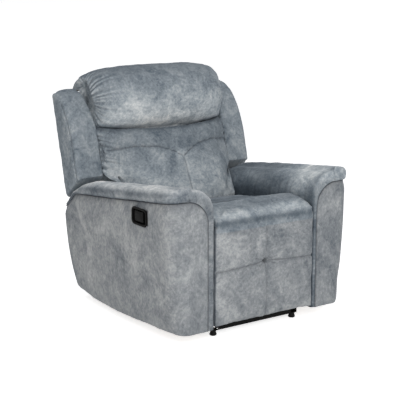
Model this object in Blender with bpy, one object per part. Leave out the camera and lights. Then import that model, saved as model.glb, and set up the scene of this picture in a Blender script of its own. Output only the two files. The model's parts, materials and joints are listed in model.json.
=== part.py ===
"""Manual home theater recliner, built from its frame outwards.

Metres, +Z up, the front of the chair faces -Y and X = 0 is its middle plane. The seat rides on pins in
slotted base plates and is driven forward by the reclining back. The footrest hangs on two double
parallelograms, so it turns about one point in front of the seat. Each moving body hangs on an empty that
stands on its axis.
"""

import math

import bmesh
import bpy
import numpy as np
from mathutils import Vector
from mathutils.geometry import convex_hull_2d, delaunay_2d_cdt

# Widths across the chair
SEAT_WIDTH = 0.524
ARM_GAP = 0.006
ARM_WIDTH = 0.220
PAD_OVERHANG = 0.007

# Clearances
FIT = 0.0003
RUN = 0.0045
LAYER_GAP = 0.0035
LINK_GAP = 0.002

# Sheet and bar stock
STEEL = 0.003
LINK = 0.004
PIN = 0.0045
HEAD = 0.0025
HEAD_RADIUS = 0.0075
COLLAR_RADIUS = 0.007
TUBE = 0.022
BOARD = 0.025
RAIL = 0.040

# Base
FOOT_RADIUS = 0.016
FOOT_HEIGHT = 0.024
BASE_ANGLE = 0.032
BASE_FRONT = -0.452
BASE_REAR = 0.262
BAR = 0.025
PLATE_INSET = 0.027
PLATE_TOP = 0.250
PLATE_FRONT = -0.400
PLATE_REAR = 0.275
PLATE_HOLE = 0.030
PLATE_EAR = 0.022

# Arms
ARM_FRONT = -0.518
ARM_REAR_FOOT = 0.382
ARM_REAR_TOP = 0.428
ARM_REAR_SWELL = 0.010
ARM_BOTTOM = 0.052
ARM_RISE = 0.283
ARM_FALL = 0.117
CHAMFER_Y = 0.313
CHAMFER_DROP = 0.153
CHAMFER_FALL = 0.787
CHAMFER_BLEND = 0.030
ARM_CORNER = 0.071
ARM_REAR_CORNER = 0.032
ARM_TAPER = 0.036
ARM_BOW = 0.010
ARM_EDGE_ROLL = 0.010
ARM_WALL = 0.0425
ARM_FRAME_WIDTH = 0.127
ARM_FRAME_CORNER = 0.008
PAD_THICKNESS = 0.060
PAD_END_THICKNESS = 0.012
PAD_END = 0.398
PAD_NOSE = 0.010
PAD_ROUND = 0.075
PAD_EDGE_NEAR = 0.018
PAD_EDGE_FAR = 0.050
PAD_CROWN = 0.003
STRIP_WIDTH = 0.031
STRIP_DEPTH = 0.043
STRIP_BOTTOM = 0.055
LEG_DROP = 0.095
POST_WIDTH = 0.074
POST_DEPTH = 0.035
ARM_BOARD_Z = 0.070
ARM_BOARD_FRONT = -0.440
REAR_RAIL_TOP = 0.240

# Release handle, on the arm at -X
HANDLE_Y = -0.2925
HANDLE_DROP = 0.150
HANDLE_LENGTH = 0.118
HANDLE_HEIGHT = 0.076
HANDLE_CORNER = 0.020
HANDLE_RIM = 0.006
HANDLE_PROUD = 0.006
CUP_DEPTH = 0.040
CUP_WALL = 0.003
FINGER_GAP = 0.022
PADDLE_THICKNESS = 0.008
PADDLE_PIN = 0.003
PADDLE_CLEAR = 0.0015
PADDLE_INSET = 0.006
CABLE_RADIUS = 0.003
CABLE_END_Y = -0.330
CABLE_END_Z = 0.165
CABLE_LEAD = 0.012

# Seat
SEAT_DECK = 0.395
SEAT_FRONT = -0.520
SEAT_REAR = 0.200
SEAT_CROWN_Y = -0.390
SEAT_RISE = 0.161
SEAT_FALL = 0.135
SEAT_FALL_POWER = 1.3
SEAT_EDGE_DROP = 0.018
SEAT_DRAW_IN = 0.004
LIP_THICKNESS = 0.006
SEAT_RAIL_FRONT = -0.445
SLIDE_PIN = 0.006
SLIDE_HEAD = 0.009
SLIDE_FRONT_Y = -0.200
SLIDE_REAR_Y = 0.120
SLIDE_Z = 0.225
SLIDE_BOSS = 0.018
PLATE_EDGE = 0.012
ROOT_BOSS = 0.020
SPRING_WIRE = 0.002
SPRING_COUNT = 4
SPRING_PITCH = 0.105
SPRING_SWING = 0.030
SPRING_TURNS = 5
SPRING_LEAD = 0.008

# Back, measured along its lean (s), forward of its rear plane (n) and across (x)
LEAN = math.radians(14.4)
BACK_Y = 0.384
BACK_RISE = 0.080
PIVOT_Y = 0.279
PIVOT_DROP = 0.070
PIVOT_PIN = 0.006
PIVOT_COLLAR = 0.009
PIVOT_HEAD = 0.012
RECLINE = math.radians(30)
LUG_RADIUS = 0.100
LUG_BOSS = 0.014
LUG_COLLAR = 0.009
BRACKET_FOOT = 0.016
BRACKET_HEAD = 0.013
BRACKET_TOP_S = -0.020
POST_S0 = -0.160
POST_S1 = 0.470
POST_N = 0.032
BACK_RAIL_N = 0.028
BACK_POST_WIDTH = 0.039
SHOULDER_S = 0.100
TOP_RAIL_S = 0.440
WING_INNER = 0.352
WING_OUTER = 0.487
WING_SPLAY = 0.050
WING_SPLAY_S = 0.320
WING_TOP_S = 0.500
WING_DEPTH = 0.165
WING_BEND_S = 0.200
WING_BEND_RUN = 0.310
WING_REAR_S = 0.010
WING_FRONT_S = 0.086
WING_CORNER = 0.028
LUMBAR_INSET = 0.004
LUMBAR_BOTTOM_S = -0.090
LUMBAR_TOP_S = 0.272
LUMBAR_TOP_RISE = 0.045
LUMBAR_SHOULDER_S = 0.066
LUMBAR_SHOULDER_RISE = 0.029
LUMBAR_CENTRE_LOW = 0.362
LUMBAR_CENTRE_HIGH = 0.285
LUMBAR_EDGE_LOW = 0.325
LUMBAR_EDGE_HIGH = 0.175
LUMBAR_SEAM_S = 0.125
LUMBAR_SEAM_DEPTH = 0.012
LUMBAR_SEAM_WIDTH = 0.016
LUMBAR_SEAM_FADE = 0.030
LUMBAR_END_TUCK = 0.035
VEE_RISE = 0.075
VEE_SPREAD = 0.110
ROLL_CENTRE_S = 0.440
ROLL_HALF_S = 0.158
ROLL_CENTRE_N = 0.120
ROLL_HALF_N = 0.165
ROLL_REAR_N = -0.008
ROLL_CREST_N = -0.0008
ROLL_SHOULDER_N = 0.045
ROLL_GAP = 0.002
ROLL_END_GAP = 0.0055
ROLL_END_LOSS = 0.94
ROLL_HOOK = 0.006
ROLL_SHOULDER_DROP = 0.012
ROLL_CREST_DROP = 0.040
ROLL_TOP_IN = 0.055
ROLL_GATHER_S = 0.525
ROLL_GATHER_N = 0.090
PANEL_THICKNESS = 0.004
PANEL_CROWN = 0.014
PANEL_BOTTOM_S = -0.165
PANEL_INSET = 0.007
PANEL_HALF_HIGH = 0.466
PANEL_SHOULDER_S = 0.008
PANEL_SHOULDER_RISE = 0.014
PANEL_TOP_ROUND = 0.060
PANEL_TOP_TUCK = 0.050
PANEL_LEVEL_S = 0.100

# Footrest and its links
FOOTREST_FRONT = -0.5235
FOOTREST_BOTTOM = 0.066
FOOTREST_RISE = 0.105
FOOTREST_PAD = 0.052
FOOTREST_EDGE = 0.034
FOOTREST_BOARD = 0.015
FOOTREST_MARGIN = 0.012
TUFT_RISE = 0.250
TUFT_DEPTH = 0.022
TUFT_RADIUS = 0.045
SEAM_DEPTH = 0.006
SEAM_WIDTH = 0.014
SEAM_DROP = 0.016
TURN_Y = -0.558
TURN_RISE = 0.0155
LINK_ROOT_Y = -0.307
LINK_ROOT_DROP = 0.050
BRACKET_PIN_GAP = 0.015
BRACKET_PIN_DROP = 0.015
BRACKET_ROUND = 0.011
LINK_TAIL = 0.060
CONTROL_OFFSET = 0.070
LINK_ROUND = 0.009

# Mesh fineness
ROUND_STEPS = 12
CORNER_STEPS = 5
SHARP = math.radians(40)

# Places that follow from the sizes above
SEAT_HALF = SEAT_WIDTH / 2
LUMBAR_HALF = SEAT_HALF - LUMBAR_INSET
PANEL_HALF_LOW = SEAT_HALF - PANEL_INSET
ARM_TOP_FRONT = SEAT_DECK + ARM_RISE
CHAMFER_Z = ARM_TOP_FRONT - CHAMFER_DROP
HANDLE_Z = ARM_TOP_FRONT - HANDLE_DROP
LEG_BOTTOM = SEAT_DECK - LEG_DROP
SEAT_CROWN_Z = SEAT_DECK + SEAT_RISE
BACK_Z = SEAT_DECK + BACK_RISE
PIVOT_Z = SEAT_DECK - PIVOT_DROP
FOOTREST_TOP = SEAT_DECK + FOOTREST_RISE
TUFT_Z = FOOTREST_BOTTOM + TUFT_RISE
TURN_Z = FOOTREST_TOP + TURN_RISE
LINK_ROOT_Z = SEAT_DECK - LINK_ROOT_DROP
BRACKET_PIN_Z = LINK_ROOT_Z - BRACKET_PIN_DROP
ARM_IN = SEAT_HALF + ARM_GAP
ARM_OUT = ARM_IN + ARM_WIDTH
STRIP_X = ARM_IN + STRIP_WIDTH
ARM_FRAME_OUT = STRIP_X + ARM_FRAME_WIDTH
PLATE_OUT = SEAT_HALF - PLATE_INSET
PLATE_IN = PLATE_OUT - STEEL
HINGE_OUT = PLATE_IN - LAYER_GAP
HINGE_IN = HINGE_OUT - STEEL
CARRIER_OUT = HINGE_IN - LAYER_GAP
CARRIER_IN = CARRIER_OUT - STEEL
LINK1_OUT = CARRIER_IN - LINK_GAP
LINK1_IN = LINK1_OUT - LINK
LINK2_OUT = LINK1_IN - LINK_GAP
LINK2_IN = LINK2_OUT - LINK
POST_OUT = HINGE_IN - FIT
SEAT_TRAVEL = 2 * LUG_RADIUS * math.sin(RECLINE / 2)
BOARD_FRONT = FOOTREST_FRONT + FOOTREST_PAD
BOARD_BACK = BOARD_FRONT + FOOTREST_BOARD
SEAT_RAIL_BOTTOM = SEAT_DECK - RAIL
STRIP_BACK = ARM_FRONT + STRIP_DEPTH
FLAT_X = STRIP_X + PAD_ROUND
PAD_ROWS = np.concatenate(
    [
        [ARM_FRONT, ARM_FRONT + PAD_NOSE, ARM_FRONT + 2 * PAD_NOSE, STRIP_BACK - FIT, STRIP_BACK + PAD_NOSE],
        np.linspace(STRIP_BACK + 3 * PAD_NOSE, PAD_END, 9),
    ]
)
WING_RISES = np.array([0.0, 0.04, 0.25, 0.5, 0.72, 0.88, 0.96, 1.0])
WING_LEVELS = WING_REAR_S + (WING_TOP_S - WING_REAR_S) * WING_RISES

PADDLE_Y = HANDLE_Y + HANDLE_LENGTH / 2 - HANDLE_RIM - CUP_WALL - 2.5 * PADDLE_INSET
PADDLE_X = PADDLE_THICKNESS - ARM_OUT - HANDLE_PROUD / 2

LINK_ROOT = np.array([LINK_ROOT_Y, LINK_ROOT_Z])
TURN = np.array([TURN_Y, TURN_Z])
BRACKET_PIN = np.array([BOARD_BACK + BRACKET_PIN_GAP, BRACKET_PIN_Z])
DRIVE_ARM = BRACKET_PIN - TURN
DRIVE_WAY = DRIVE_ARM / np.linalg.norm(DRIVE_ARM)
CARRY_WAY = (TURN - LINK_ROOT) / np.linalg.norm(TURN - LINK_ROOT)
KNEE = LINK_ROOT + DRIVE_ARM
KNEE_TAIL = KNEE + LINK_TAIL * DRIVE_WAY
BRACKET_TAIL = BRACKET_PIN + LINK_TAIL * DRIVE_WAY
CONTROL_ROOT = LINK_ROOT - CONTROL_OFFSET * CARRY_WAY
CONTROL_KNEE = KNEE - CONTROL_OFFSET * CARRY_WAY
LUG = np.array([PIVOT_Y, PIVOT_Z]) + LUG_RADIUS * np.array(
    [math.sin(RECLINE / 2), -math.cos(RECLINE / 2)]
)
LUG_DIP = LUG_RADIUS * (1 - math.cos(RECLINE / 2))


# Scene and finishes


def clear_scene():
    """Remove every object, so that the model starts from nothing."""
    for item in list(bpy.data.objects):
        bpy.data.objects.remove(item, do_unlink=True)


def finish(name, colour, roughness, metallic=0.0):
    """A Principled material of one colour."""
    made = bpy.data.materials.new(name)
    made.use_nodes = True
    shader = made.node_tree.nodes["Principled BSDF"]
    shader.inputs["Base Color"].default_value = (*colour, 1.0)
    shader.inputs["Roughness"].default_value = roughness
    shader.inputs["Metallic"].default_value = metallic
    return made


def pivot(name, y=0.0, z=0.0, x=0.0):
    """An empty on a joint's axis, which carries the pieces of one body."""
    made = bpy.data.objects.new(name, None)
    made.location = (x, y, z)
    bpy.context.scene.collection.objects.link(made)
    return made


def add(name, points, faces, material, carrier):
    """One closed body, with its faces turned outwards and its origin on its carrier."""
    home = np.array(carrier.location)
    mesh = bpy.data.meshes.new(name)
    mesh.from_pydata((np.asarray(points, float) - home).tolist(), [], faces)
    shell = bmesh.new()
    shell.from_mesh(mesh)
    bmesh.ops.recalc_face_normals(shell, faces=shell.faces)
    shell.to_mesh(mesh)
    shell.free()
    mesh.materials.append(material)
    mesh.shade_smooth()
    mesh.set_sharp_from_angle(angle=SHARP)
    body = bpy.data.objects.new(name, mesh)
    bpy.context.scene.collection.objects.link(body)
    body.parent = carrier
    return body


# Outlines in Y and Z


def circle(centre, radius, steps=ROUND_STEPS):
    """A round outline."""
    turn = np.linspace(0, 2 * math.pi, steps, endpoint=False)
    return np.stack([centre[0] + radius * np.cos(turn), centre[1] + radius * np.sin(turn)], 1)


def hull(*rounds):
    """The outline drawn tight round several circles, each a centre and a radius."""
    cloud = np.concatenate([circle(centre, radius, 2 * ROUND_STEPS) for centre, radius in rounds])
    return cloud[convex_hull_2d([Vector(point) for point in cloud])]


def box_outline(y0, y1, z0, z1):
    """A rectangle."""
    return np.array([[y0, z0], [y1, z0], [y1, z1], [y0, z1]])


def inside(point, loop):
    """Whether a point lies inside a closed outline, by counting crossings."""
    y, z = loop[:, 0], loop[:, 1]
    y2, z2 = np.roll(y, -1), np.roll(z, -1)
    across = (z > point[1]) != (z2 > point[1])
    where = y + (point[1] - z) / np.where(across, z2 - z, 1.0) * (y2 - y)
    return bool(np.count_nonzero(across & (where > point[0])) % 2)


def fill(outline, gaps):
    """Triangles over an outline, left open over its gaps, as indices into all the loops in turn."""
    loops = [outline, *gaps]
    starts = np.cumsum([0] + [len(loop) for loop in loops])
    points = np.concatenate(loops)
    edges = [
        (start + i, start + (i + 1) % len(loop))
        for start, loop in zip(starts, loops)
        for i in range(len(loop))
    ]
    flat, _, faces, origin, _, _ = delaunay_2d_cdt([Vector(p) for p in points], edges, [], 0, 1e-7)
    kept = []
    for face in faces:
        middle = np.mean([flat[i] for i in face], axis=0)
        if inside(middle, outline) and not any(inside(middle, gap) for gap in gaps):
            kept.append([origin[i][0] for i in face])
    return kept


def plate(name, outline, x_in, x_out, side, material, carrier, holes=(), inner_studs=(), outer_studs=()):
    """Sheet metal or board: an outline with a thickness in X, holes through it and turned studs on its faces.

    A stud is a centre and a list of (radius, length) steps, from the face outwards. side is 1 or -1, for the
    right or the left of the chair.
    """
    points, faces = [], []

    def loop_at(loop, x):
        start = len(points)
        points.extend([side * x, y, z] for y, z in loop)
        return list(range(start, start + len(loop)))

    def wall(first, second):
        count = len(first)
        for i in range(count):
            j = (i + 1) % count
            faces.append([first[i], first[j], second[j], second[i]])

    rims = {}
    for x, way, studs in ((x_in, -1, inner_studs), (x_out, 1, outer_studs)):
        roots = [circle(centre, steps[0][0]) for centre, steps in studs]
        loops = [outline, *holes, *roots]
        ring = [loop_at(loop, x) for loop in loops]
        index = [i for loop in ring for i in loop]
        faces.extend([[index[i] for i in face] for face in fill(outline, loops[1:])])
        rims[way] = ring[: 1 + len(holes)]
        for (centre, steps), root in zip(studs, ring[1 + len(holes) :]):
            last, reach = root, x
            for number, (radius, length) in enumerate(steps):
                if number:
                    step = loop_at(circle(centre, radius), reach)
                    wall(last, step)
                    last = step
                reach += way * length
                step = loop_at(circle(centre, radius), reach)
                wall(last, step)
                last = step
            faces.append(last)
    for first, second in zip(rims[-1], rims[1]):
        wall(first, second)
    return add(name, points, faces, material, carrier)


def board(name, outline, x0, x1, material, carrier):
    """A plain extruded length of wood or steel, from x0 to x1."""
    low = [[x0, y, z] for y, z in outline]
    high = [[x1, y, z] for y, z in outline]
    return loft(name, np.array([low, high]), material, carrier)


# Surfaces


def grid_faces(rows, cols, start=0):
    """Quads over a grid of points that are numbered row by row."""
    index = start + np.arange(rows * cols).reshape(rows, cols)
    corners = [index[:-1, :-1], index[:-1, 1:], index[1:, 1:], index[1:, :-1]]
    return np.stack(corners, -1).reshape(-1, 4).tolist()


def border(rows, cols):
    """The grid's edge points, once round."""
    index = np.arange(rows * cols).reshape(rows, cols)
    return np.concatenate([index[0], index[1:, -1], index[-1, -2::-1], index[-2:0:-1, 0]])


def sheet(name, outer, inner, material, carrier):
    """A padded shell between two grids of points, closed along its edges."""
    rows, cols = outer.shape[:2]
    count = rows * cols
    faces = grid_faces(rows, cols) + [f[::-1] for f in grid_faces(rows, cols, count)]
    edge = border(rows, cols)
    for i, j in zip(edge.tolist(), np.roll(edge, -1).tolist()):
        faces.append([j, i, i + count, j + count])
    points = np.concatenate([outer.reshape(-1, 3), inner.reshape(-1, 3)])
    return add(name, points, faces, material, carrier)


def cushion(name, face, foot, material, carrier):
    """A pad with a shaped face, walls from the face's edge and a flat back at the foot points."""
    rows, cols = face.shape[:2]
    count = rows * cols
    edge = border(rows, cols)
    faces = grid_faces(rows, cols)
    back = list(range(count, count + len(edge)))
    for i in range(len(edge)):
        j = (i + 1) % len(edge)
        faces.append([int(edge[j]), int(edge[i]), back[i], back[j]])
    faces.append(back)
    points = np.concatenate([face.reshape(-1, 3), foot.reshape(-1, 3)[edge]])
    return add(name, points, faces, material, carrier)


def loft(name, rings, material, carrier):
    """A body through closed rings of equal count, with flat ends."""
    count, size = rings.shape[:2]
    faces = []
    for ring in range(count - 1):
        for i in range(size):
            j = (i + 1) % size
            low, high = ring * size, (ring + 1) * size
            faces.append([low + i, low + j, high + j, high + i])
    faces.append(list(range(size))[::-1])
    faces.append(list(range((count - 1) * size, count * size)))
    return add(name, rings.reshape(-1, 3), faces, material, carrier)


def smooth(value, start, end):
    """0 before start, 1 after end and an easy curve between."""
    part = np.clip((value - start) / (end - start), 0.0, 1.0)
    return part * part * (3 - 2 * part)


def spread(count):
    """Places from -1 to 1, closer together towards both ends."""
    return np.sin(np.linspace(-math.pi / 2, math.pi / 2, count))


def wire(name, routes, radius, material, carrier):
    """Round wires, each along its own points, fused where they cross."""
    made = []
    home = Vector(carrier.location)
    for number, route in enumerate(routes):
        curve = bpy.data.curves.new(f"{name}_{number}", "CURVE")
        curve.dimensions = "3D"
        curve.bevel_depth = radius
        curve.bevel_resolution = 1
        curve.use_fill_caps = True
        spline = curve.splines.new("POLY")
        spline.points.add(len(route) - 1)
        for point, place in zip(spline.points, route):
            point.co = (*(Vector(place) - home), 1.0)
        made.append(curve)
    bodies = []
    for number, curve in enumerate(made):
        guide = bpy.data.objects.new(f"{name}_guide", curve)
        mesh = bpy.data.meshes.new_from_object(guide)
        bpy.data.objects.remove(guide)
        shell = bmesh.new()
        shell.from_mesh(mesh)
        bmesh.ops.remove_doubles(shell, verts=shell.verts, dist=radius / 100)
        bmesh.ops.recalc_face_normals(shell, faces=shell.faces)
        shell.to_mesh(mesh)
        shell.free()
        mesh.shade_smooth()
        label = name if number == 0 else f"{name}_part_{number}"
        body = bpy.data.objects.new(label, mesh)
        bpy.context.scene.collection.objects.link(body)
        body.parent = carrier
        bodies.append(body)
    whole = bodies[0]
    whole.data.materials.append(material)
    for extra in bodies[1:]:
        hide_tool(extra)
        join = whole.modifiers.new(extra.name, "BOOLEAN")
        join.operation = "UNION"
        join.solver = "EXACT"
        join.object = extra
    return whole


def hide_tool(tool):
    """Keep a cutting or joining body out of the model itself."""
    tool.hide_render = True
    tool.display_type = "WIRE"


# The base


def rivet(gap, stock, head_radius=HEAD_RADIUS, collar=COLLAR_RADIUS, shank=PIN):
    """Steps of a shouldered rivet that crosses a gap and a sheet and holds it with its head."""
    return [(collar, gap - FIT), (shank, stock + 2 * FIT), (head_radius, HEAD)]


def build_base(carrier, steel, rubber):
    """Angle rails, cross bars, feet and the slotted side plates."""
    floor = FOOT_HEIGHT
    angle_out = PLATE_IN - FIT
    angle_in = angle_out - BASE_ANGLE
    for side, word in ((-1, "left"), (1, "right")):
        ring = np.array(
            [
                [angle_in, floor],
                [angle_out, floor],
                [angle_out, floor + BASE_ANGLE],
                [angle_out - STEEL, floor + BASE_ANGLE],
                [angle_out - STEEL, floor + STEEL],
                [angle_in, floor + STEEL],
            ]
        )
        ends = [np.array([[side * x, y, z] for x, z in ring]) for y in (BASE_FRONT, BASE_REAR)]
        loft(f"base_rail_{word}", np.array(ends), steel, carrier)
        build_side_plate(side, word, carrier, steel)
    for word, y in (("front", BASE_FRONT), ("rear", BASE_REAR - BAR)):
        channel = channel_outline(y, floor)
        half = angle_in - FIT
        board(f"base_bar_{word}", channel, -half, half, steel, carrier)
    foot_x = angle_in + BASE_ANGLE / 2
    for end, y in (("front", BASE_FRONT + FOOT_RADIUS), ("rear", BASE_REAR - FOOT_RADIUS)):
        for side, word in ((-1, "left"), (1, "right")):
            glide(f"foot_{end}_{word}", side * foot_x, y, rubber, carrier)


def channel_outline(y, z):
    """A channel bar with its open side down and its back upwards."""
    y1, top = y + BAR, z + BAR
    return np.array(
        [
            [y, z],
            [y + STEEL, z],
            [y + STEEL, top - STEEL],
            [y1 - STEEL, top - STEEL],
            [y1 - STEEL, z],
            [y1, z],
            [y1, top],
            [y, top],
        ]
    )


def glide(name, x, y, material, carrier):
    """A turned floor glide: a flat sole, a rounded flank and a flange under the rail."""
    top = FOOT_HEIGHT - FIT
    profile = (
        (0.82 * FOOT_RADIUS, 0.0),
        (0.97 * FOOT_RADIUS, 0.10 * top),
        (FOOT_RADIUS, 0.25 * top),
        (0.80 * FOOT_RADIUS, 0.60 * top),
        (0.72 * FOOT_RADIUS, 0.80 * top),
        (0.90 * FOOT_RADIUS, 0.84 * top),
        (0.90 * FOOT_RADIUS, top),
    )
    rings = [np.column_stack([circle((x, y), r), np.full(ROUND_STEPS, z)]) for r, z in profile]
    loft(name, np.array(rings), material, carrier)


def build_side_plate(side, word, carrier, steel):
    """The base plate of one side, slotted for the seat's slide pins, with the stud of the back's hinge."""
    ear = PLATE_EAR
    crown = np.array([[1, 0], [0.7, 0.7], [0, 1], [-0.7, 0.7], [-1, 0]])
    outline = np.array(
        [
            [PLATE_FRONT, FOOT_HEIGHT + STEEL],
            [PLATE_REAR, FOOT_HEIGHT + STEEL],
            [PLATE_REAR + ear, PIVOT_Z - ear],
            *(np.array([PIVOT_Y, PIVOT_Z]) + ear * crown),
            [SLIDE_REAR_Y + SLIDE_HEAD + ear, PLATE_TOP],
            [PLATE_FRONT + ear, PLATE_TOP],
            [PLATE_FRONT, PLATE_TOP - ear],
        ]
    )
    run = SLIDE_PIN + FIT
    slots = [
        hull(((y - SEAT_TRAVEL, SLIDE_Z), run), ((y, SLIDE_Z), run))
        for y in (SLIDE_FRONT_Y, SLIDE_REAR_Y)
    ]
    middle = (FOOT_HEIGHT + BASE_ANGLE + SLIDE_Z - SLIDE_HEAD) / 2
    span = PLATE_REAR - PLATE_FRONT
    lightening = [circle((PLATE_FRONT + span * k / 4, middle), PLATE_HOLE) for k in (1, 2, 3)]
    stud = ((PIVOT_Y, PIVOT_Z), rivet(LAYER_GAP, STEEL, PIVOT_HEAD, PIVOT_COLLAR, PIVOT_PIN))
    plate(
        f"side_plate_{word}",
        outline,
        PLATE_IN,
        PLATE_OUT,
        side,
        steel,
        carrier,
        holes=[*slots, *lightening],
        inner_studs=[stud],
    )


# The arms


def pad_top(y):
    """Height of the arm's top line: a gentle fall to the rear that bends into a steep chamfer."""
    gentle = ARM_TOP_FRONT - ARM_FALL * (y - ARM_FRONT)
    steep = CHAMFER_Z - CHAMFER_FALL * (y - CHAMFER_Y)
    return 0.5 * (gentle + steep - np.sqrt((gentle - steep) ** 2 + CHAMFER_BLEND**2))


def seam(y):
    """Height of the seam between the arm's cover and its pad, straight between the pad's rows."""
    rows = np.append(PAD_ROWS, ARM_REAR_TOP)
    line = ARM_TOP_FRONT - PAD_THICKNESS - ARM_FALL * (rows - ARM_FRONT)
    return np.interp(y, rows, np.minimum(line, pad_top(rows) - PAD_END_THICKNESS))


def seam_low(y):
    """Height of the frame's top under the seam at one Y."""
    return float(seam(y)) - FIT


def inner_drop(x):
    """How far the seam falls towards the arm's inner edge, as a quarter round."""
    part = np.clip(PAD_ROUND - (x - STRIP_X), 0.0, PAD_ROUND)
    return PAD_ROUND - np.sqrt(PAD_ROUND**2 - part**2)


def rear_line(rise):
    """Y of the arm's rear edge from the bottom (0) to the seam (1)."""
    straight = ARM_REAR_FOOT + (ARM_REAR_TOP - ARM_REAR_FOOT) * rise
    return straight + ARM_REAR_SWELL * np.sin(math.pi * rise)


def arm_plan(x_out, y_front, y_rear, front_round, rear_round, bow):
    """Plan of an arm: its front face, a round corner, the bowed side, a round corner and its rear face."""
    turn = np.linspace(0, math.pi / 2, CORNER_STEPS)
    front_round = min(front_round, x_out - FLAT_X - PAD_NOSE)
    front_x = FLAT_X - PAD_ROUND * np.sin(turn[::-1])
    front = np.column_stack([front_x, np.full(len(front_x), y_front)])
    corner = np.column_stack(
        [x_out - front_round * (1 - np.sin(turn)), y_front + front_round * (1 - np.cos(turn))]
    )
    along = np.linspace(-1, 1, 2 * CORNER_STEPS - 2)[1:-1]
    middle = (y_front + front_round + y_rear - rear_round) / 2
    reach = (y_rear - rear_round - y_front - front_round) / 2
    side = np.column_stack([x_out + bow * (1 - along**2), middle + reach * along])
    rear_corner = np.column_stack(
        [x_out - rear_round * (1 - np.cos(turn)), y_rear - rear_round * (1 - np.sin(turn))]
    )
    rear_x = front_x[::-1]
    rear = np.column_stack([rear_x, np.full(len(rear_x), y_rear)])
    return np.concatenate([front, corner, side, rear_corner, rear])


def arm_edge(y):
    """X of the arm's outer edge under the pad, with the round front corner and the bow of the side."""
    side_out = ARM_OUT - ARM_BOW
    y0, y1 = ARM_FRONT + ARM_CORNER, ARM_REAR_TOP - ARM_REAR_CORNER
    part = np.clip((2 * y - y0 - y1) / (y1 - y0), -1, 1)
    into = np.clip(ARM_CORNER - (y - ARM_FRONT), 0, ARM_CORNER)
    corner = ARM_CORNER - np.sqrt(ARM_CORNER**2 - into**2)
    behind = np.clip(y - y1, 0, ARM_REAR_CORNER)
    rear = ARM_REAR_CORNER - np.sqrt(ARM_REAR_CORNER**2 - behind**2)
    return side_out + ARM_BOW * (1 - part**2) - corner - rear


def cover_grids(side):
    """The arm cover's outer and inner grids, level by level from the bottom rim to the seam."""
    outer, inner = [], []
    for rise in (0.0, 0.04, 0.2, 0.4, 0.6, 0.8, 0.95, 1.0):
        tuck = 1 - np.clip(rise / 0.04, 0, 1) + float(smooth(rise, 0.92, 1.0))
        out = ARM_OUT - ARM_BOW - ARM_TAPER * (1 - rise) ** 2 - ARM_EDGE_ROLL * tuck
        rear = rear_line(rise)
        shape = arm_plan(out, ARM_FRONT, rear, ARM_CORNER, ARM_REAR_CORNER, ARM_BOW)
        room = arm_plan(
            ARM_FRAME_OUT, ARM_FRONT + ARM_WALL, rear - ARM_WALL, ARM_FRAME_CORNER, ARM_FRAME_CORNER, 0.0
        )
        for plan, levels in ((shape, outer), (room, inner)):
            top = seam(plan[:, 1]) - inner_drop(plan[:, 0])
            z = ARM_BOTTOM + rise * (top - ARM_BOTTOM)
            levels.append(np.column_stack([side * plan[:, 0], plan[:, 1], z]))
    return np.array(outer), np.array(inner)


def pad_grids(side):
    """The arm pad's outer and under grids, row by row from front to rear."""
    turn = np.linspace(0, math.pi / 2, CORNER_STEPS)
    outer, under = [], []
    for number, y in enumerate(PAD_ROWS):
        low, top, edge = seam(y) + FIT, pad_top(y), arm_edge(y)
        foot = STRIP_BOTTOM if y < STRIP_BACK else LEG_BOTTOM
        tall = top - low
        rise = np.array([0.0, 0.18, 0.45, 0.72, 0.92, 1.0])
        lap = PAD_OVERHANG * np.array([0.0, 0.7, 1.0, 0.3, 0.0, 0.0])
        out = edge + lap - np.array([ARM_EDGE_ROLL, 0.0, 0.0, 0.0, PAD_EDGE_NEAR, PAD_EDGE_FAR])
        round_x = ARM_IN + PAD_ROUND * (1 - np.sin(turn))
        round_z = top - PAD_ROUND * (1 - np.cos(turn))
        crest = (out[-1] + round_x[0]) / 2
        down = np.linspace(round_z[-1], foot, 4)[1:]
        path_x = np.concatenate([out, [crest], round_x, np.full(3, ARM_IN)])
        path_z = np.concatenate([low + tall * rise, [top + PAD_CROWN], round_z, down])
        under_x = np.linspace(out[0] - PAD_OVERHANG, FLAT_X, 8)[:-1]
        arc = PAD_ROUND + FIT
        arc_x, arc_z = FLAT_X - arc * np.sin(turn), low - FIT - PAD_ROUND + arc * np.cos(turn)
        fall = np.linspace(arc_z[-1], foot, 4)[1:]
        low_x = np.concatenate([under_x, arc_x, np.full(3, STRIP_X - FIT)])
        low_z = np.concatenate([np.full(7, low), arc_z, fall])
        if number == 0:
            path_x = low_x + 0.8 * (path_x - low_x)
            path_z = low_z + 0.8 * (path_z - low_z)
        outer.append(np.column_stack([side * path_x, np.full(len(path_x), y), path_z]))
        under.append(np.column_stack([side * low_x, np.full(len(low_x), y), low_z]))
    return np.array(outer), np.array(under)


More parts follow.
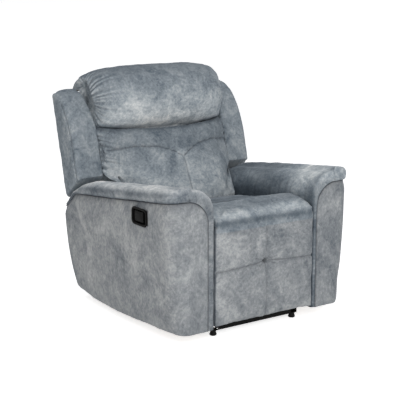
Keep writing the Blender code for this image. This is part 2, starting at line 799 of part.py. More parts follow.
def build_arm(side, word, carrier, velvet, wood):
    """One arm: a wooden frame, the cover round it and the pad over it."""
    frame_out = ARM_FRAME_OUT - FIT
    post_in = ARM_FRAME_OUT - POST_WIDTH
    board_top = ARM_BOARD_Z + BOARD
    inner_front = ARM_FRONT + ARM_WALL + ARM_FRAME_CORNER
    board_rear = float(rear_line(0.0)) - ARM_WALL - ARM_FRAME_CORNER
    low = box_outline(ARM_BOARD_FRONT, board_rear, ARM_BOARD_Z, board_top)
    board(f"arm_board_{word}", low, side * (PLATE_OUT + FIT), side * frame_out, wood, carrier)
    rail_front, rail_rear = inner_front, CHAMFER_Y - RAIL
    rail = np.array(
        [
            [rail_front, seam_low(rail_front) - RAIL],
            [rail_rear, seam_low(rail_rear) - RAIL],
            [rail_rear, seam_low(rail_rear)],
            [rail_front, seam_low(rail_front)],
        ]
    )
    board(f"arm_rail_{word}", rail, side * (FLAT_X + FIT), side * frame_out, wood, carrier)
    front_top = seam_low(inner_front) - RAIL - FIT
    post = np.array(
        [
            [inner_front, board_top + FIT],
            [inner_front + POST_DEPTH, board_top + FIT],
            [inner_front + POST_DEPTH, front_top - ARM_FALL * POST_DEPTH],
            [inner_front, front_top],
        ]
    )
    board(f"arm_post_front_{word}", post, side * post_in, side * frame_out, wood, carrier)
    rear_top = seam_low(rail_rear) - RAIL - FIT
    foot_y = board_rear - POST_DEPTH
    head_y = rail_rear - POST_DEPTH
    lean = np.array(
        [
            [foot_y, board_top + FIT],
            [foot_y + POST_DEPTH, board_top + FIT],
            [head_y + POST_DEPTH, rear_top],
            [head_y, rear_top],
        ]
    )
    board(f"arm_post_rear_{word}", lean, side * post_in, side * frame_out, wood, carrier)
    cover = sheet(f"arm_cover_{word}", *cover_grids(side), velvet, carrier)
    sheet(f"arm_pad_{word}", *pad_grids(side), velvet, carrier)
    return cover


def build_rear_rail(carrier, velvet):
    """The covered rail that joins the arms below the back, leaning as the arms' rear edges do."""
    slope = (ARM_REAR_TOP - ARM_REAR_FOOT) / (float(seam(ARM_REAR_TOP)) - ARM_BOTTOM)
    lean = slope * (REAR_RAIL_TOP - STRIP_BOTTOM)
    foot = ARM_REAR_FOOT - FIT
    outline = np.array(
        [
            [foot - BOARD, STRIP_BOTTOM],
            [foot, STRIP_BOTTOM],
            [foot + lean, REAR_RAIL_TOP],
            [foot + lean - BOARD, REAR_RAIL_TOP],
        ]
    )
    half = STRIP_X - FIT
    board("rear_rail", outline, -half, half, velvet, carrier)


# The release handle


def round_box(length, height, corner):
    """A rectangle with round corners, centred on the handle, in Y and Z."""
    turn = np.linspace(0, math.pi / 2, CORNER_STEPS)
    loop = []
    for quarter, (sy, sz) in enumerate(((1, 1), (-1, 1), (-1, -1), (1, -1))):
        middle = (HANDLE_Y + sy * (length / 2 - corner), HANDLE_Z + sz * (height / 2 - corner))
        angle = turn + quarter * math.pi / 2
        around = np.column_stack([np.cos(angle), np.sin(angle)])
        loop.append(np.array(middle) + corner * around)
    return np.concatenate(loop)


def handle_ring(x, inset):
    """The handle's outline drawn in by an inset, at one X."""
    flat = round_box(HANDLE_LENGTH - 2 * inset, HANDLE_HEIGHT - 2 * inset, max(HANDLE_CORNER - inset, 0.004))
    return np.column_stack([np.full(len(flat), x), flat])


def build_handle(cover, carrier, paddle_carrier, black, wire_black):
    """The cup let into the left arm, its paddle and the release cable behind it."""
    face = -ARM_OUT
    rim = face - HANDLE_PROUD
    back = face + CUP_DEPTH
    wall = HANDLE_RIM + CUP_WALL
    cup = np.array(
        [
            handle_ring(back, HANDLE_RIM),
            handle_ring(face - FIT, HANDLE_RIM),
            handle_ring(face - FIT, 0.0),
            handle_ring(rim + HANDLE_PROUD / 2, 0.0),
            handle_ring(rim, HANDLE_PROUD / 2),
            handle_ring(rim, HANDLE_RIM),
            handle_ring(rim + HANDLE_PROUD / 2, wall),
            handle_ring(back - CUP_WALL, wall),
        ]
    )
    loft("handle_cup", cup, black, carrier)
    inset = HANDLE_RIM - FIT
    opening = np.array([handle_ring(face - HANDLE_PROUD, inset), handle_ring(-ARM_FRAME_OUT + BOARD, inset)])
    cutter = loft("handle_cutter", opening, black, carrier)
    hide_tool(cutter)
    cut = cover.modifiers.new("handle_opening", "BOOLEAN")
    cut.operation = "DIFFERENCE"
    cut.solver = "EXACT"
    cut.object = cutter
    build_paddle(paddle_carrier, black)
    start_y, start_z = HANDLE_Y + HANDLE_LENGTH / 4, HANDLE_Z
    route = np.array(
        [
            [back + CABLE_LEAD, start_y, start_z],
            [-ARM_FRAME_OUT + 0.03, start_y - 0.01, start_z - 0.03],
            [-ARM_FRAME_OUT + 0.06, start_y - 0.03, (start_z + LEG_BOTTOM) / 2],
            [-STRIP_X - 0.03, CABLE_END_Y + 0.04, LEG_BOTTOM],
            [-STRIP_X + 0.01, CABLE_END_Y + 0.01, CABLE_END_Z + 0.05],
            [-PLATE_OUT - CABLE_LEAD, CABLE_END_Y, CABLE_END_Z],
        ]
    )
    first = np.array([back + FIT, start_y, start_z])
    last = np.array([-PLATE_OUT - FIT, CABLE_END_Y, CABLE_END_Z])
    run = np.concatenate([[first], through(route, 4), [last]])
    wire("release_cable", [run], CABLE_RADIUS, wire_black, carrier)


def build_paddle(carrier, black):
    """The pull paddle: a domed lever with hinge pins at its rear end and a finger gap at its front."""
    wall = HANDLE_RIM + CUP_WALL
    rear = PADDLE_Y + PADDLE_PIN + PADDLE_CLEAR
    front = HANDLE_Y - HANDLE_LENGTH / 2 + wall + FINGER_GAP
    half = HANDLE_HEIGHT / 2 - wall - PADDLE_INSET
    inner = PADDLE_X
    along = np.linspace(0, 1, 7)
    rows = []
    upper = ((0.0, 1.1), (0.45, 1.0), (0.9, 0.6), (1.0, 0.0))
    lower = tuple((-level, bulge) for level, bulge in upper[:0:-1])
    for level, bulge in (*lower, *upper):
        y = rear + (front - rear) * along
        x = inner - PADDLE_THICKNESS * (0.45 + 0.55 * bulge * np.sin(math.pi * (0.15 + 0.7 * along)))
        rows.append(np.column_stack([x, y, np.full(7, HANDLE_Z + half * level)]))
    face = np.array(rows)
    foot = face.copy()
    foot[:, :, 0] = inner
    paddle = cushion("handle_paddle", face, foot, black, carrier)
    pin_half = HANDLE_HEIGHT / 2 - wall - FIT
    ends = [
        np.column_stack([circle((inner, PADDLE_Y), PADDLE_PIN, 8), np.full(8, HANDLE_Z + way * pin_half)])
        for way in (-1, 1)
    ]
    hinge = loft("handle_hinge", np.array(ends), black, carrier)
    hide_tool(hinge)
    join = paddle.modifiers.new("hinge_pins", "BOOLEAN")
    join.operation = "UNION"
    join.solver = "EXACT"
    join.object = hinge


def through(points, steps):
    """A smooth curve through points, as Catmull-Rom spans of a few steps each."""
    padded = np.concatenate([points[:1], points, points[-1:]])
    made = []
    part = np.linspace(0, 1, steps, endpoint=False)[:, None]
    for a, b, c, d in zip(padded, padded[1:], padded[2:], padded[3:]):
        made.append(
            b
            + 0.5 * (c - a) * part
            + 0.5 * (2 * a - 5 * b + 4 * c - d) * part**2
            + 0.5 * (3 * b - a - 3 * c + d) * part**3
        )
    made.append(points[-1:])
    return np.concatenate(made)


# The seat


def sinuous(start, end, swing, turns):
    """A flat zigzag spring between two points, with straight ends and loops to either side of the line."""
    part = np.linspace(0, 1, 4 * turns + 1)
    sway = np.sin(part * turns * 2 * math.pi)
    squared = np.sign(sway) * np.abs(sway) ** 0.6
    lead = SPRING_LEAD * (end - start) / np.linalg.norm(end - start)
    line = start + lead + (end - start - 2 * lead) * part[:, None]
    return np.concatenate([[start], line + swing * squared[:, None], [end]])


def seat_top(y):
    """Height of the seat's middle line: a rolled front that climbs to the crown, then a fall to the rear."""
    lip = FOOTREST_TOP + LIP_THICKNESS
    ahead = np.clip((SEAT_CROWN_Y - y) / (SEAT_CROWN_Y - SEAT_FRONT), 0, 1)
    roll = lip + (SEAT_CROWN_Z - lip) * np.sqrt(1 - ahead**2)
    behind = np.clip((y - SEAT_CROWN_Y) / (SEAT_REAR - SEAT_CROWN_Y), 0, 1)
    return np.where(y < SEAT_CROWN_Y, roll, SEAT_CROWN_Z - SEAT_FALL * behind**SEAT_FALL_POWER)


def build_seat(carrier, velvet, wood, steel):
    """Rails, springs, carrier plates and the cushion."""
    rail_out, rail_in = SEAT_HALF - FIT, CARRIER_OUT + FIT
    cross = CARRIER_IN - FIT
    rear_rail_y = SEAT_REAR - RAIL
    for side, word in ((-1, "left"), (1, "right")):
        rail = box_outline(SEAT_RAIL_FRONT, SEAT_REAR, SEAT_RAIL_BOTTOM, SEAT_DECK)
        board(f"seat_rail_{word}", rail, side * rail_in, side * rail_out, wood, carrier)
        build_carrier_plate(side, word, carrier, steel)
    front = box_outline(SEAT_RAIL_FRONT, SEAT_RAIL_FRONT + RAIL, SEAT_RAIL_BOTTOM, SEAT_DECK)
    board("seat_rail_front", front, -cross, cross, wood, carrier)
    rear = box_outline(rear_rail_y, SEAT_REAR, SEAT_RAIL_BOTTOM, SEAT_DECK)
    board("seat_rail_rear", rear, -cross, cross, wood, carrier)
    spring_z = SEAT_DECK - 4 * SPRING_WIRE
    places = SPRING_PITCH * (np.arange(SPRING_COUNT) - (SPRING_COUNT - 1) / 2)
    sway = np.array([SPRING_SWING, 0.0, 0.0])
    runs = [
        sinuous(
            np.array([x, SEAT_RAIL_FRONT + RAIL + FIT, spring_z]),
            np.array([x, rear_rail_y - FIT, spring_z]),
            sway,
            SPRING_TURNS,
        )
        for x in places
    ]
    tie_y = (SEAT_RAIL_FRONT + RAIL + rear_rail_y) / 2
    tie_z = spring_z - SPRING_WIRE
    tie = np.array([[x, tie_y, tie_z] for x in np.linspace(-cross + FIT, cross - FIT, 3)])
    wire("seat_springs", [tie, *runs], SPRING_WIRE, steel, carrier)
    sheet("seat_cushion", *seat_grids(), velvet, carrier)


def seat_grids():
    """The seat cushion's top and under grids: rows from the front lip to the rear, columns across."""
    roll = SEAT_CROWN_Y - (SEAT_CROWN_Y - SEAT_FRONT) * np.cos(np.linspace(0, math.pi / 2, 6))
    rows = np.concatenate([roll, np.linspace(SEAT_CROWN_Y, SEAT_REAR, 10)[1:]])
    across = spread(15)
    edge = SEAT_EDGE_DROP * np.abs(across) ** 4
    length = (rows - SEAT_FRONT) / (SEAT_REAR - SEAT_FRONT)
    half = SEAT_HALF - SEAT_DRAW_IN * np.sin(math.pi * length)
    x = half[:, None] * across
    lip = FOOTREST_TOP + RUN
    rise = seat_top(rows)
    floor = np.where(rows < SEAT_CROWN_Y, lip, SEAT_DECK + FIT)
    room = np.clip((rise - floor) / (SEAT_CROWN_Z - lip), 0.05, 1.0)
    z = rise[:, None] - edge * room[:, None]
    top = np.stack([x, np.broadcast_to(rows[:, None], x.shape), z], -1)
    neck = BOARD_BACK + RUN
    seated = SEAT_DECK + FIT
    front_y = np.linspace(SEAT_FRONT + LIP_THICKNESS, neck, 4)
    under_y = np.concatenate([front_y, np.full(2, neck), np.linspace(neck, SEAT_REAR, 10)[1:]])
    under_z = np.concatenate([np.full(4, lip), np.linspace(lip, seated, 3)[1:], np.full(9, seated)])
    under = np.stack(
        [x, np.broadcast_to(under_y[:, None], x.shape), np.broadcast_to(under_z[:, None], x.shape)], -1
    )
    return top, under


def build_carrier_plate(side, word, carrier, steel):
    """The seat's carrier plate, with its slide pins and the slot that the back's lug drives."""
    top_z = SEAT_DECK - RAIL / 2
    outline = hull(
        ((SEAT_RAIL_FRONT + RAIL, top_z), PLATE_EDGE),
        ((SEAT_REAR - RAIL, top_z), PLATE_EDGE),
        (LINK_ROOT, ROOT_BOSS),
        ((SLIDE_FRONT_Y, SLIDE_Z), SLIDE_BOSS),
        ((SLIDE_REAR_Y, SLIDE_Z), SLIDE_BOSS),
        (LUG, LUG_BOSS),
    )
    run = PIN + FIT
    lug_run = SLIDE_PIN + 2 * FIT
    holes = [
        circle(LINK_ROOT, run),
        circle(CONTROL_ROOT, run),
        hull((LUG, lug_run), (LUG - np.array([0.0, LUG_DIP]), lug_run)),
    ]
    reach = LAYER_GAP + STEEL + LAYER_GAP + STEEL + FIT
    slide = [(SLIDE_PIN, reach), (SLIDE_HEAD, HEAD)]
    studs = [((y, SLIDE_Z), slide) for y in (SLIDE_FRONT_Y, SLIDE_REAR_Y)]
    plate(
        f"seat_plate_{word}",
        outline,
        CARRIER_IN,
        CARRIER_OUT,
        side,
        steel,
        carrier,
        holes=holes,
        outer_studs=studs,
    )


# The back


def back_points(x, s, n):
    """World points of places given across, along the lean and forward of the rear plane."""
    y = BACK_Y + s * math.sin(LEAN) - n * math.cos(LEAN)
    z = BACK_Z + s * math.cos(LEAN) + n * math.sin(LEAN)
    return np.stack(np.broadcast_arrays(x, y, z), -1)


def back_block(name, x0, x1, s0, s1, n0, n1, material, carrier):
    """A straight length of wood in the back's own directions."""
    corners = ((s0, n0), (s1, n0), (s1, n1), (s0, n1))
    rings = [[back_points(np.float64(x), s, n) for s, n in corners] for x in (x0, x1)]
    loft(name, np.array(rings), material, carrier)


def wing_inner(s):
    """X of the wing's inner side, which splays out towards the top to make room for the head roll."""
    return np.interp(s, WING_LEVELS, WING_INNER + WING_SPLAY * smooth(WING_LEVELS, WING_SPLAY_S, WING_TOP_S))


def build_back(carrier, velvet, wood, steel):
    """Posts, rails, springs, hinge brackets, cushions, wings and the outer panel."""
    post_in = POST_OUT - BACK_POST_WIDTH
    rail_n0 = POST_N + FIT
    rail_n1 = rail_n0 + BACK_RAIL_N
    for side, word in ((-1, "left"), (1, "right")):
        back_block(
            f"back_post_{word}", side * post_in, side * POST_OUT, POST_S0, POST_S1, FIT, POST_N, wood, carrier
        )
        build_hinge_bracket(side, word, carrier, steel)
        build_wing(side, word, carrier, velvet)
    low = POST_S0
    shoulder_half = WING_INNER - FIT
    top_half = float(wing_inner(TOP_RAIL_S)) - RUN
    rails = (
        ("bottom", low, POST_OUT),
        ("shoulder", SHOULDER_S, shoulder_half),
        ("top", TOP_RAIL_S, top_half),
    )
    for word, s, half in rails:
        back_block(f"back_rail_{word}", -half, half, s, s + RAIL, rail_n0, rail_n1, wood, carrier)
    spring_n = rail_n0 + BACK_RAIL_N / 2
    starts, ends = low + RAIL + FIT, SHOULDER_S - FIT
    places = SPRING_PITCH * (np.arange(SPRING_COUNT) - (SPRING_COUNT - 1) / 2)
    sway = np.array([SPRING_SWING, 0.0, 0.0])
    runs = [
        sinuous(
            back_points(np.float64(x), starts, spring_n),
            back_points(np.float64(x), ends, spring_n),
            sway,
            SPRING_TURNS - 2,
        )
        for x in places
    ]
    tie_s = (starts + ends) / 2
    reach = places[-1] + SPRING_SWING
    tie = back_points(np.linspace(-reach, reach, 3), tie_s, spring_n - SPRING_WIRE)
    wire("back_springs", [tie, *runs], SPRING_WIRE, steel, carrier)
    build_lumbar(rail_n1 + FIT, carrier, velvet)
    build_head_roll(rail_n1 + FIT, carrier, velvet)
    build_panel(carrier, velvet)


def build_hinge_bracket(side, word, carrier, steel):
    """The back's bracket: it turns on the side plate, is screwed to the post and carries the drive lug."""
    centre = np.array([PIVOT_Y, PIVOT_Z])
    upper = [back_points(np.float64(0), s, POST_N / 2)[1:] for s in (POST_S0 + RAIL, BRACKET_TOP_S)]
    outline = hull((centre, PLATE_EAR), (upper[0], BRACKET_FOOT), (upper[1], BRACKET_HEAD), (LUG, LUG_BOSS))
    hole = circle(centre, PIVOT_PIN + FIT)
    lug = (LUG, [(LUG_COLLAR, LAYER_GAP - FIT), (SLIDE_PIN, STEEL + 2 * FIT), (SLIDE_HEAD, HEAD)])
    plate(
        f"hinge_bracket_{word}",
        outline,
        HINGE_IN,
        HINGE_OUT,
        side,
        steel,
        carrier,
        holes=[hole],
        inner_studs=[lug],
    )


def build_wing(side, word, carrier, velvet):
    """A side wing: rounded in section, slanted below to follow the arm, its front bent back to the top."""
    turn = np.linspace(0, math.pi / 2, CORNER_STEPS - 1)
    unit = []
    for quarter, (sx, sn) in enumerate(((1, 1), (-1, 1), (-1, -1), (1, -1))):
        angle = turn + quarter * math.pi / 2
        corner_at = np.full((len(turn), 2), (sx, sn))
        unit.append(np.column_stack([corner_at, np.cos(angle), np.sin(angle)]))
    unit = np.concatenate(unit)
    rings = []
    for rise, level, shrink in zip(WING_RISES, WING_LEVELS, (0.96, 1.0, 1.0, 1.0, 1.0, 1.0, 0.97, 0.90)):
        x0 = float(wing_inner(level))
        x1 = x0 + shrink * (WING_OUTER - x0)
        over = max(0.0, (level - WING_BEND_S) / WING_BEND_RUN)
        front = WING_DEPTH * math.sqrt(1 - over**2)
        half_x, half_n = (x1 - x0) / 2, (front - FIT) / 2
        corner = min(WING_CORNER, half_x, half_n)
        x = (x0 + x1) / 2 + unit[:, 0] * (half_x - corner) + unit[:, 2] * corner
        n = (front + FIT) / 2 + unit[:, 1] * (half_n - corner) + unit[:, 3] * corner
        slant = (WING_FRONT_S - WING_REAR_S) * (n / WING_DEPTH) * max(0.0, 1 - 2 * rise)
        rings.append(back_points(side * x, level + slant, n))
    loft(f"wing_{word}", np.array(rings), velvet, carrier)


def lumbar_top(x):
    """How far up the lean the lumbar cushion's top line runs: lowest in the middle, under the roll's sag."""
    return LUMBAR_TOP_S + LUMBAR_TOP_RISE * (x / WING_INNER) ** 2


def build_lumbar(back_n, carrier, velvet):
    """The lumbar cushion: narrow between the arms, wide above, crowned, with a V seam and a middle seam."""
    rows = np.concatenate(
        [
            np.linspace(LUMBAR_BOTTOM_S, LUMBAR_SHOULDER_S, 6),
            LUMBAR_SHOULDER_S + LUMBAR_SHOULDER_RISE * np.array([0.35, 0.7, 1.0]),
            np.linspace(LUMBAR_SEAM_S, LUMBAR_TOP_S, 8),
        ]
    )
    across = np.concatenate([spread(9)[:4], [-0.16, -0.06, 0.0, 0.06, 0.16], spread(9)[5:]])
    wide = smooth(rows, LUMBAR_SHOULDER_S, LUMBAR_SHOULDER_S + LUMBAR_SHOULDER_RISE)
    half = LUMBAR_HALF + (WING_INNER - FIT - LUMBAR_HALF) * wide
    x = half[:, None] * across
    part = ((rows - LUMBAR_BOTTOM_S) / (LUMBAR_TOP_S - LUMBAR_BOTTOM_S))[:, None]
    centre = LUMBAR_CENTRE_LOW + (LUMBAR_CENTRE_HIGH - LUMBAR_CENTRE_LOW) * part
    edge = LUMBAR_EDGE_LOW + (LUMBAR_EDGE_HIGH - LUMBAR_EDGE_LOW) * smooth(part, 0.15, 0.75)
    n = edge + (centre - edge) * (1 - across**2)
    ends = smooth(part, 0.0, 0.06) * smooth(1 - part, 0.0, 0.10)
    n = n - LUMBAR_END_TUCK * (1 - ends)
    vee = LUMBAR_SEAM_S + VEE_RISE * np.tanh(np.abs(x) / VEE_SPREAD)
    fade = LUMBAR_SEAM_FADE / 2
    below = smooth(-rows[:, None], -LUMBAR_SEAM_S - fade, -LUMBAR_SEAM_S + fade)
    across_vee = (rows[:, None] - vee) / LUMBAR_SEAM_WIDTH
    groove = np.exp(-(across_vee**2)) + below * np.exp(-((x / LUMBAR_SEAM_WIDTH) ** 2))
    n = n - LUMBAR_SEAM_DEPTH * np.clip(groove, 0, 1)
    lift = (lumbar_top(x) - LUMBAR_TOP_S) * smooth(rows, LUMBAR_SEAM_S, LUMBAR_TOP_S)[:, None]
    s = rows[:, None] + lift
    face = back_points(x, s, n)
    cushion("lumbar_cushion", face, back_points(x, s, np.full_like(n, back_n)), velvet, carrier)


def build_head_roll(back_n, carrier, velvet):
    """The head roll: a bolster section carried across, hooked over the frame's top, with gathered ends."""
    turn = np.radians(np.linspace(-78, 90, 11))
    front_s = ROLL_CENTRE_S + ROLL_HALF_S * np.sin(turn)
    front_n = ROLL_CENTRE_N + ROLL_HALF_N * np.cos(turn)
    hook = WING_TOP_S + ROLL_HOOK
    lowest = LUMBAR_TOP_S + LUMBAR_TOP_RISE + 2 * ROLL_GAP
    top = ROLL_CENTRE_S + ROLL_HALF_S
    levels = WING_LEVELS[(WING_LEVELS > lowest) & (WING_LEVELS < hook)][::-1]
    turned = [top - ROLL_SHOULDER_DROP, top - ROLL_CREST_DROP, hook, hook]
    s = np.concatenate([front_s, turned, levels, [lowest, LUMBAR_TOP_S]])
    flat = np.full(len(levels) + 3, back_n)
    n = np.concatenate([front_n, [ROLL_SHOULDER_N, ROLL_CREST_N, ROLL_REAR_N], flat])
    rings = []
    closing = np.array([0.15, 0.4, 0.7])
    places = np.concatenate([np.full(3, -1), np.linspace(-1, 1, 15), np.full(3, 1)])
    sizes = np.concatenate([closing, np.ones(15), closing[::-1]])
    for place, size in zip(places, sizes):
        swell = (1 - ROLL_END_LOSS * abs(place) ** 4) ** 0.45
        bottom = lumbar_top(place * (WING_INNER - ROLL_END_GAP)) + ROLL_GAP
        high = np.where(s > hook, hook + (s - hook) * (0.35 + 0.65 * swell), np.maximum(s, bottom))
        deep = np.where(n > back_n, back_n + (n - back_n) * (0.45 + 0.55 * swell), n)
        high = ROLL_GATHER_S + size * (high - ROLL_GATHER_S)
        deep = ROLL_GATHER_N + size * (deep - ROLL_GATHER_N)
        half = wing_inner(high) - ROLL_END_GAP - ROLL_TOP_IN * smooth(high, lowest, hook)
        rings.append(back_points(place * half, high, deep))
    loft("head_roll", np.array(rings), velvet, carrier)


def build_panel(carrier, velvet):
    """The outer back panel: flat inside, softly crowned behind, narrow between the arms and wide above."""
    rows = np.concatenate(
        [
            np.linspace(PANEL_BOTTOM_S, PANEL_SHOULDER_S, 5),
            PANEL_SHOULDER_S + PANEL_SHOULDER_RISE * np.array([0.4, 1.0]),
            np.linspace(PANEL_LEVEL_S, WING_TOP_S, 7),
        ]
    )
    across = spread(11)
    wide = smooth(rows, PANEL_SHOULDER_S, PANEL_SHOULDER_S + PANEL_SHOULDER_RISE)
    tuck = smooth(rows, WING_TOP_S - PANEL_TOP_ROUND, WING_TOP_S) * PANEL_TOP_TUCK
    half = PANEL_HALF_LOW + (PANEL_HALF_HIGH - PANEL_HALF_LOW) * wide - tuck
    x = half[:, None] * across
    part = (rows - PANEL_BOTTOM_S) / (WING_TOP_S - PANEL_BOTTOM_S)
    crown = np.sqrt(np.clip(np.sin(math.pi * part), 0, 1))[:, None] * (1 - across**4)
    s = np.broadcast_to(rows[:, None], x.shape)
    rear = back_points(x, s, -PANEL_THICKNESS - PANEL_CROWN * crown)
    cushion("back_panel", rear, back_points(x, s, np.full_like(x, -FIT)), velvet, carrier)


# The footrest


def build_footrest(carrier, velvet, wood, steel):
    """Board, pad and the two brackets that the links hold."""
    half = SEAT_HALF - FOOTREST_MARGIN
    low, high = FOOTREST_BOTTOM + FOOTREST_MARGIN, FOOTREST_TOP - FOOTREST_MARGIN
    board("footrest_board", box_outline(BOARD_FRONT, BOARD_BACK, low, high), -half, half, wood, carrier)
    for side, word in ((-1, "left"), (1, "right")):
        build_bracket(side, word, carrier, steel)
    near = np.array([0.0, 0.04, 0.10, 0.2, 0.35, 0.5, 0.65, 0.8, 0.92, 0.98, 1.0])
    across = np.concatenate([-near[:0:-1], near])
    x = SEAT_HALF * across
    span = FOOTREST_TOP - FOOTREST_BOTTOM
    share = (TUFT_Z - FOOTREST_BOTTOM) / span
    up = np.concatenate([share - share * near[:0:-1], share + (1 - share) * near])
    z = FOOTREST_BOTTOM + span * up
    xx, zz = np.meshgrid(x, z)
    side = 1 - np.abs(across) ** 5
    rise = 1 - np.abs(2 * up - 1) ** 5
    thick = FOOTREST_EDGE + (FOOTREST_PAD - FOOTREST_EDGE) * np.sqrt(np.outer(rise, side))
    line = TUFT_Z - SEAM_DROP * np.abs(xx) / SEAT_HALF
    groove = np.exp(-((xx / SEAM_WIDTH) ** 2)) + np.exp(-(((zz - line) / SEAM_WIDTH) ** 2))
    tuft = np.exp(-(xx**2 + (zz - TUFT_Z) ** 2) / TUFT_RADIUS**2)
    sunk = np.minimum(SEAM_DEPTH * np.clip(groove, 0, 1) + TUFT_DEPTH * tuft, thick - FOOTREST_EDGE / 2)
    face = np.stack([xx, BOARD_FRONT - thick + sunk, zz], -1)
    foot = np.stack([xx, np.full_like(xx, BOARD_FRONT - FIT), zz], -1)
    cushion("footrest_pad", face, foot, velvet, carrier)


def build_bracket(side, word, carrier, steel):
    """The footrest's bracket: a plate with two rivets and a flange screwed to the back of the board."""
    seat_y = BOARD_BACK + FIT
    flange_low, flange_high = BRACKET_TAIL[1] - RAIL, BRACKET_PIN[1] + BRACKET_ROUND
    corner = STEEL / 2
    outline = hull(
        (BRACKET_PIN, BRACKET_ROUND),
        (BRACKET_TAIL, BRACKET_ROUND),
        ((seat_y + corner, flange_low), corner),
        ((seat_y + corner, flange_high), corner),
    )
    pins = [(place, rivet(LINK_GAP, LINK)) for place in (BRACKET_PIN, BRACKET_TAIL)]
    name = f"footrest_bracket_{word}"
    web = plate(name, outline, LINK1_IN, LINK1_OUT, side, steel, carrier, inner_studs=pins)
    foot = box_outline(seat_y, seat_y + STEEL, flange_low, flange_high)
    reach = (side * (LINK1_OUT - FIT), side * (LINK1_OUT - BOARD))
    flange = board(f"bracket_flange_{word}", foot, *reach, steel, carrier)
    hide_tool(flange)
    join = web.modifiers.new("flange", "BOOLEAN")
    join.operation = "UNION"
    join.solver = "EXACT"
    join.object = flange


def build_links(carriers, steel):
    """The links of both sides and the drive tube between them.

    Drive and control links turn alike on the seat's plates. Carry and brace links stay parallel to each
    other, so the footrest's bracket turns as the drive link does.
    """
    hole = PIN + FIT
    for side, word in ((-1, "left"), (1, "right")):
        root = rivet(LINK_GAP, STEEL)
        knee = rivet(LINK_GAP, LINK)
        plate(
            f"drive_link_{word}",
            hull((LINK_ROOT, LINK_ROUND), (KNEE_TAIL, LINK_ROUND)),
            LINK1_IN,
            LINK1_OUT,
            side,
            steel,
            carriers["drive"],
            outer_studs=[(LINK_ROOT, root)],
            inner_studs=[(KNEE, knee), (KNEE_TAIL, knee)],
        )
        plate(
            f"control_link_{word}",
            hull((CONTROL_ROOT, LINK_ROUND), (CONTROL_KNEE, LINK_ROUND)),
            LINK1_IN,
            LINK1_OUT,
            side,
            steel,
            carriers["control"],
            outer_studs=[(CONTROL_ROOT, root)],
            inner_studs=[(CONTROL_KNEE, knee)],
        )
        plate(
            f"carry_link_{word}",
            hull((CONTROL_KNEE, LINK_ROUND), (BRACKET_PIN, LINK_ROUND)),
            LINK2_IN,
            LINK2_OUT,
            side,
            steel,
            carriers["carry"],
            holes=[circle(place, hole) for place in (CONTROL_KNEE, KNEE, BRACKET_PIN)],
        )
        plate(
            f"brace_link_{word}",
            hull((KNEE_TAIL, LINK_ROUND), (BRACKET_TAIL, LINK_ROUND)),
            LINK2_IN,
            LINK2_OUT,
            side,
            steel,
            carriers["brace"],
            holes=[circle(place, hole) for place in (KNEE_TAIL, BRACKET_TAIL)],
        )
    half = LINK1_IN - FIT
    tube = box_outline(
        LINK_ROOT_Y - TUBE / 2, LINK_ROOT_Y + TUBE / 2, LINK_ROOT_Z - TUBE / 2, LINK_ROOT_Z + TUBE / 2
    )
    bore = box_outline(
        LINK_ROOT_Y - TUBE / 2 + STEEL,
        LINK_ROOT_Y + TUBE / 2 - STEEL,
        LINK_ROOT_Z - TUBE / 2 + STEEL,
        LINK_ROOT_Z + TUBE / 2 - STEEL,
    )
    plate("drive_tube", tube, -half, half, 1, steel, carriers["drive"], holes=[bore])


def main():
    """Build the chair, body by body."""
    clear_scene()
    velvet = finish("velvet", (0.28, 0.30, 0.33), 0.85)
    wood = finish("plywood", (0.52, 0.38, 0.24), 0.7)
    steel = finish("black_steel", (0.02, 0.02, 0.022), 0.45, 0.6)
    black = finish("black_plastic", (0.012, 0.012, 0.013), 0.4)
    rubber = finish("glide_plastic", (0.015, 0.015, 0.016), 0.6)
    wire_black = finish("cable_jacket", (0.02, 0.02, 0.02), 0.6)

    base = pivot("base_body")
    seat = pivot("seat_body", SLIDE_REAR_Y, SLIDE_Z)
    back = pivot("back_body", PIVOT_Y, PIVOT_Z)
    footrest = pivot("footrest_body", TURN_Y, TURN_Z)
    paddle = pivot("paddle_body", PADDLE_Y, HANDLE_Z, PADDLE_X)
    links = {
        "drive": pivot("drive_body", *LINK_ROOT),
        "control": pivot("control_body", *CONTROL_ROOT),
        "carry": pivot("carry_body", *KNEE),
        "brace": pivot("brace_body", *KNEE_TAIL),
    }

    build_base(base, steel, rubber)
    covers = {word: build_arm(side, word, base, velvet, wood) for side, word in ((-1, "left"), (1, "right"))}
    build_rear_rail(base, velvet)
    build_handle(covers["left"], base, paddle, black, wire_black)
    build_seat(seat, velvet, wood, steel)
    build_back(back, velvet, wood, steel)
    build_footrest(footrest, velvet, wood, steel)
    build_links(links, steel)


main()
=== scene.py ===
"""Looks of a manual home theater recliner in mottled velvet.

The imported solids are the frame. Every upholstered piece is a surface worked out here with numpy, swelled by a
short cloth run where it is a stuffed cushion, and then sewn: its seams are pressed in along lines on the surface.
"""

import json
import logging
import math
from dataclasses import dataclass
from enum import Enum

import bmesh
import bpy
import numpy as np
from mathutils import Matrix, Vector
from mathutils.bvhtree import BVHTree


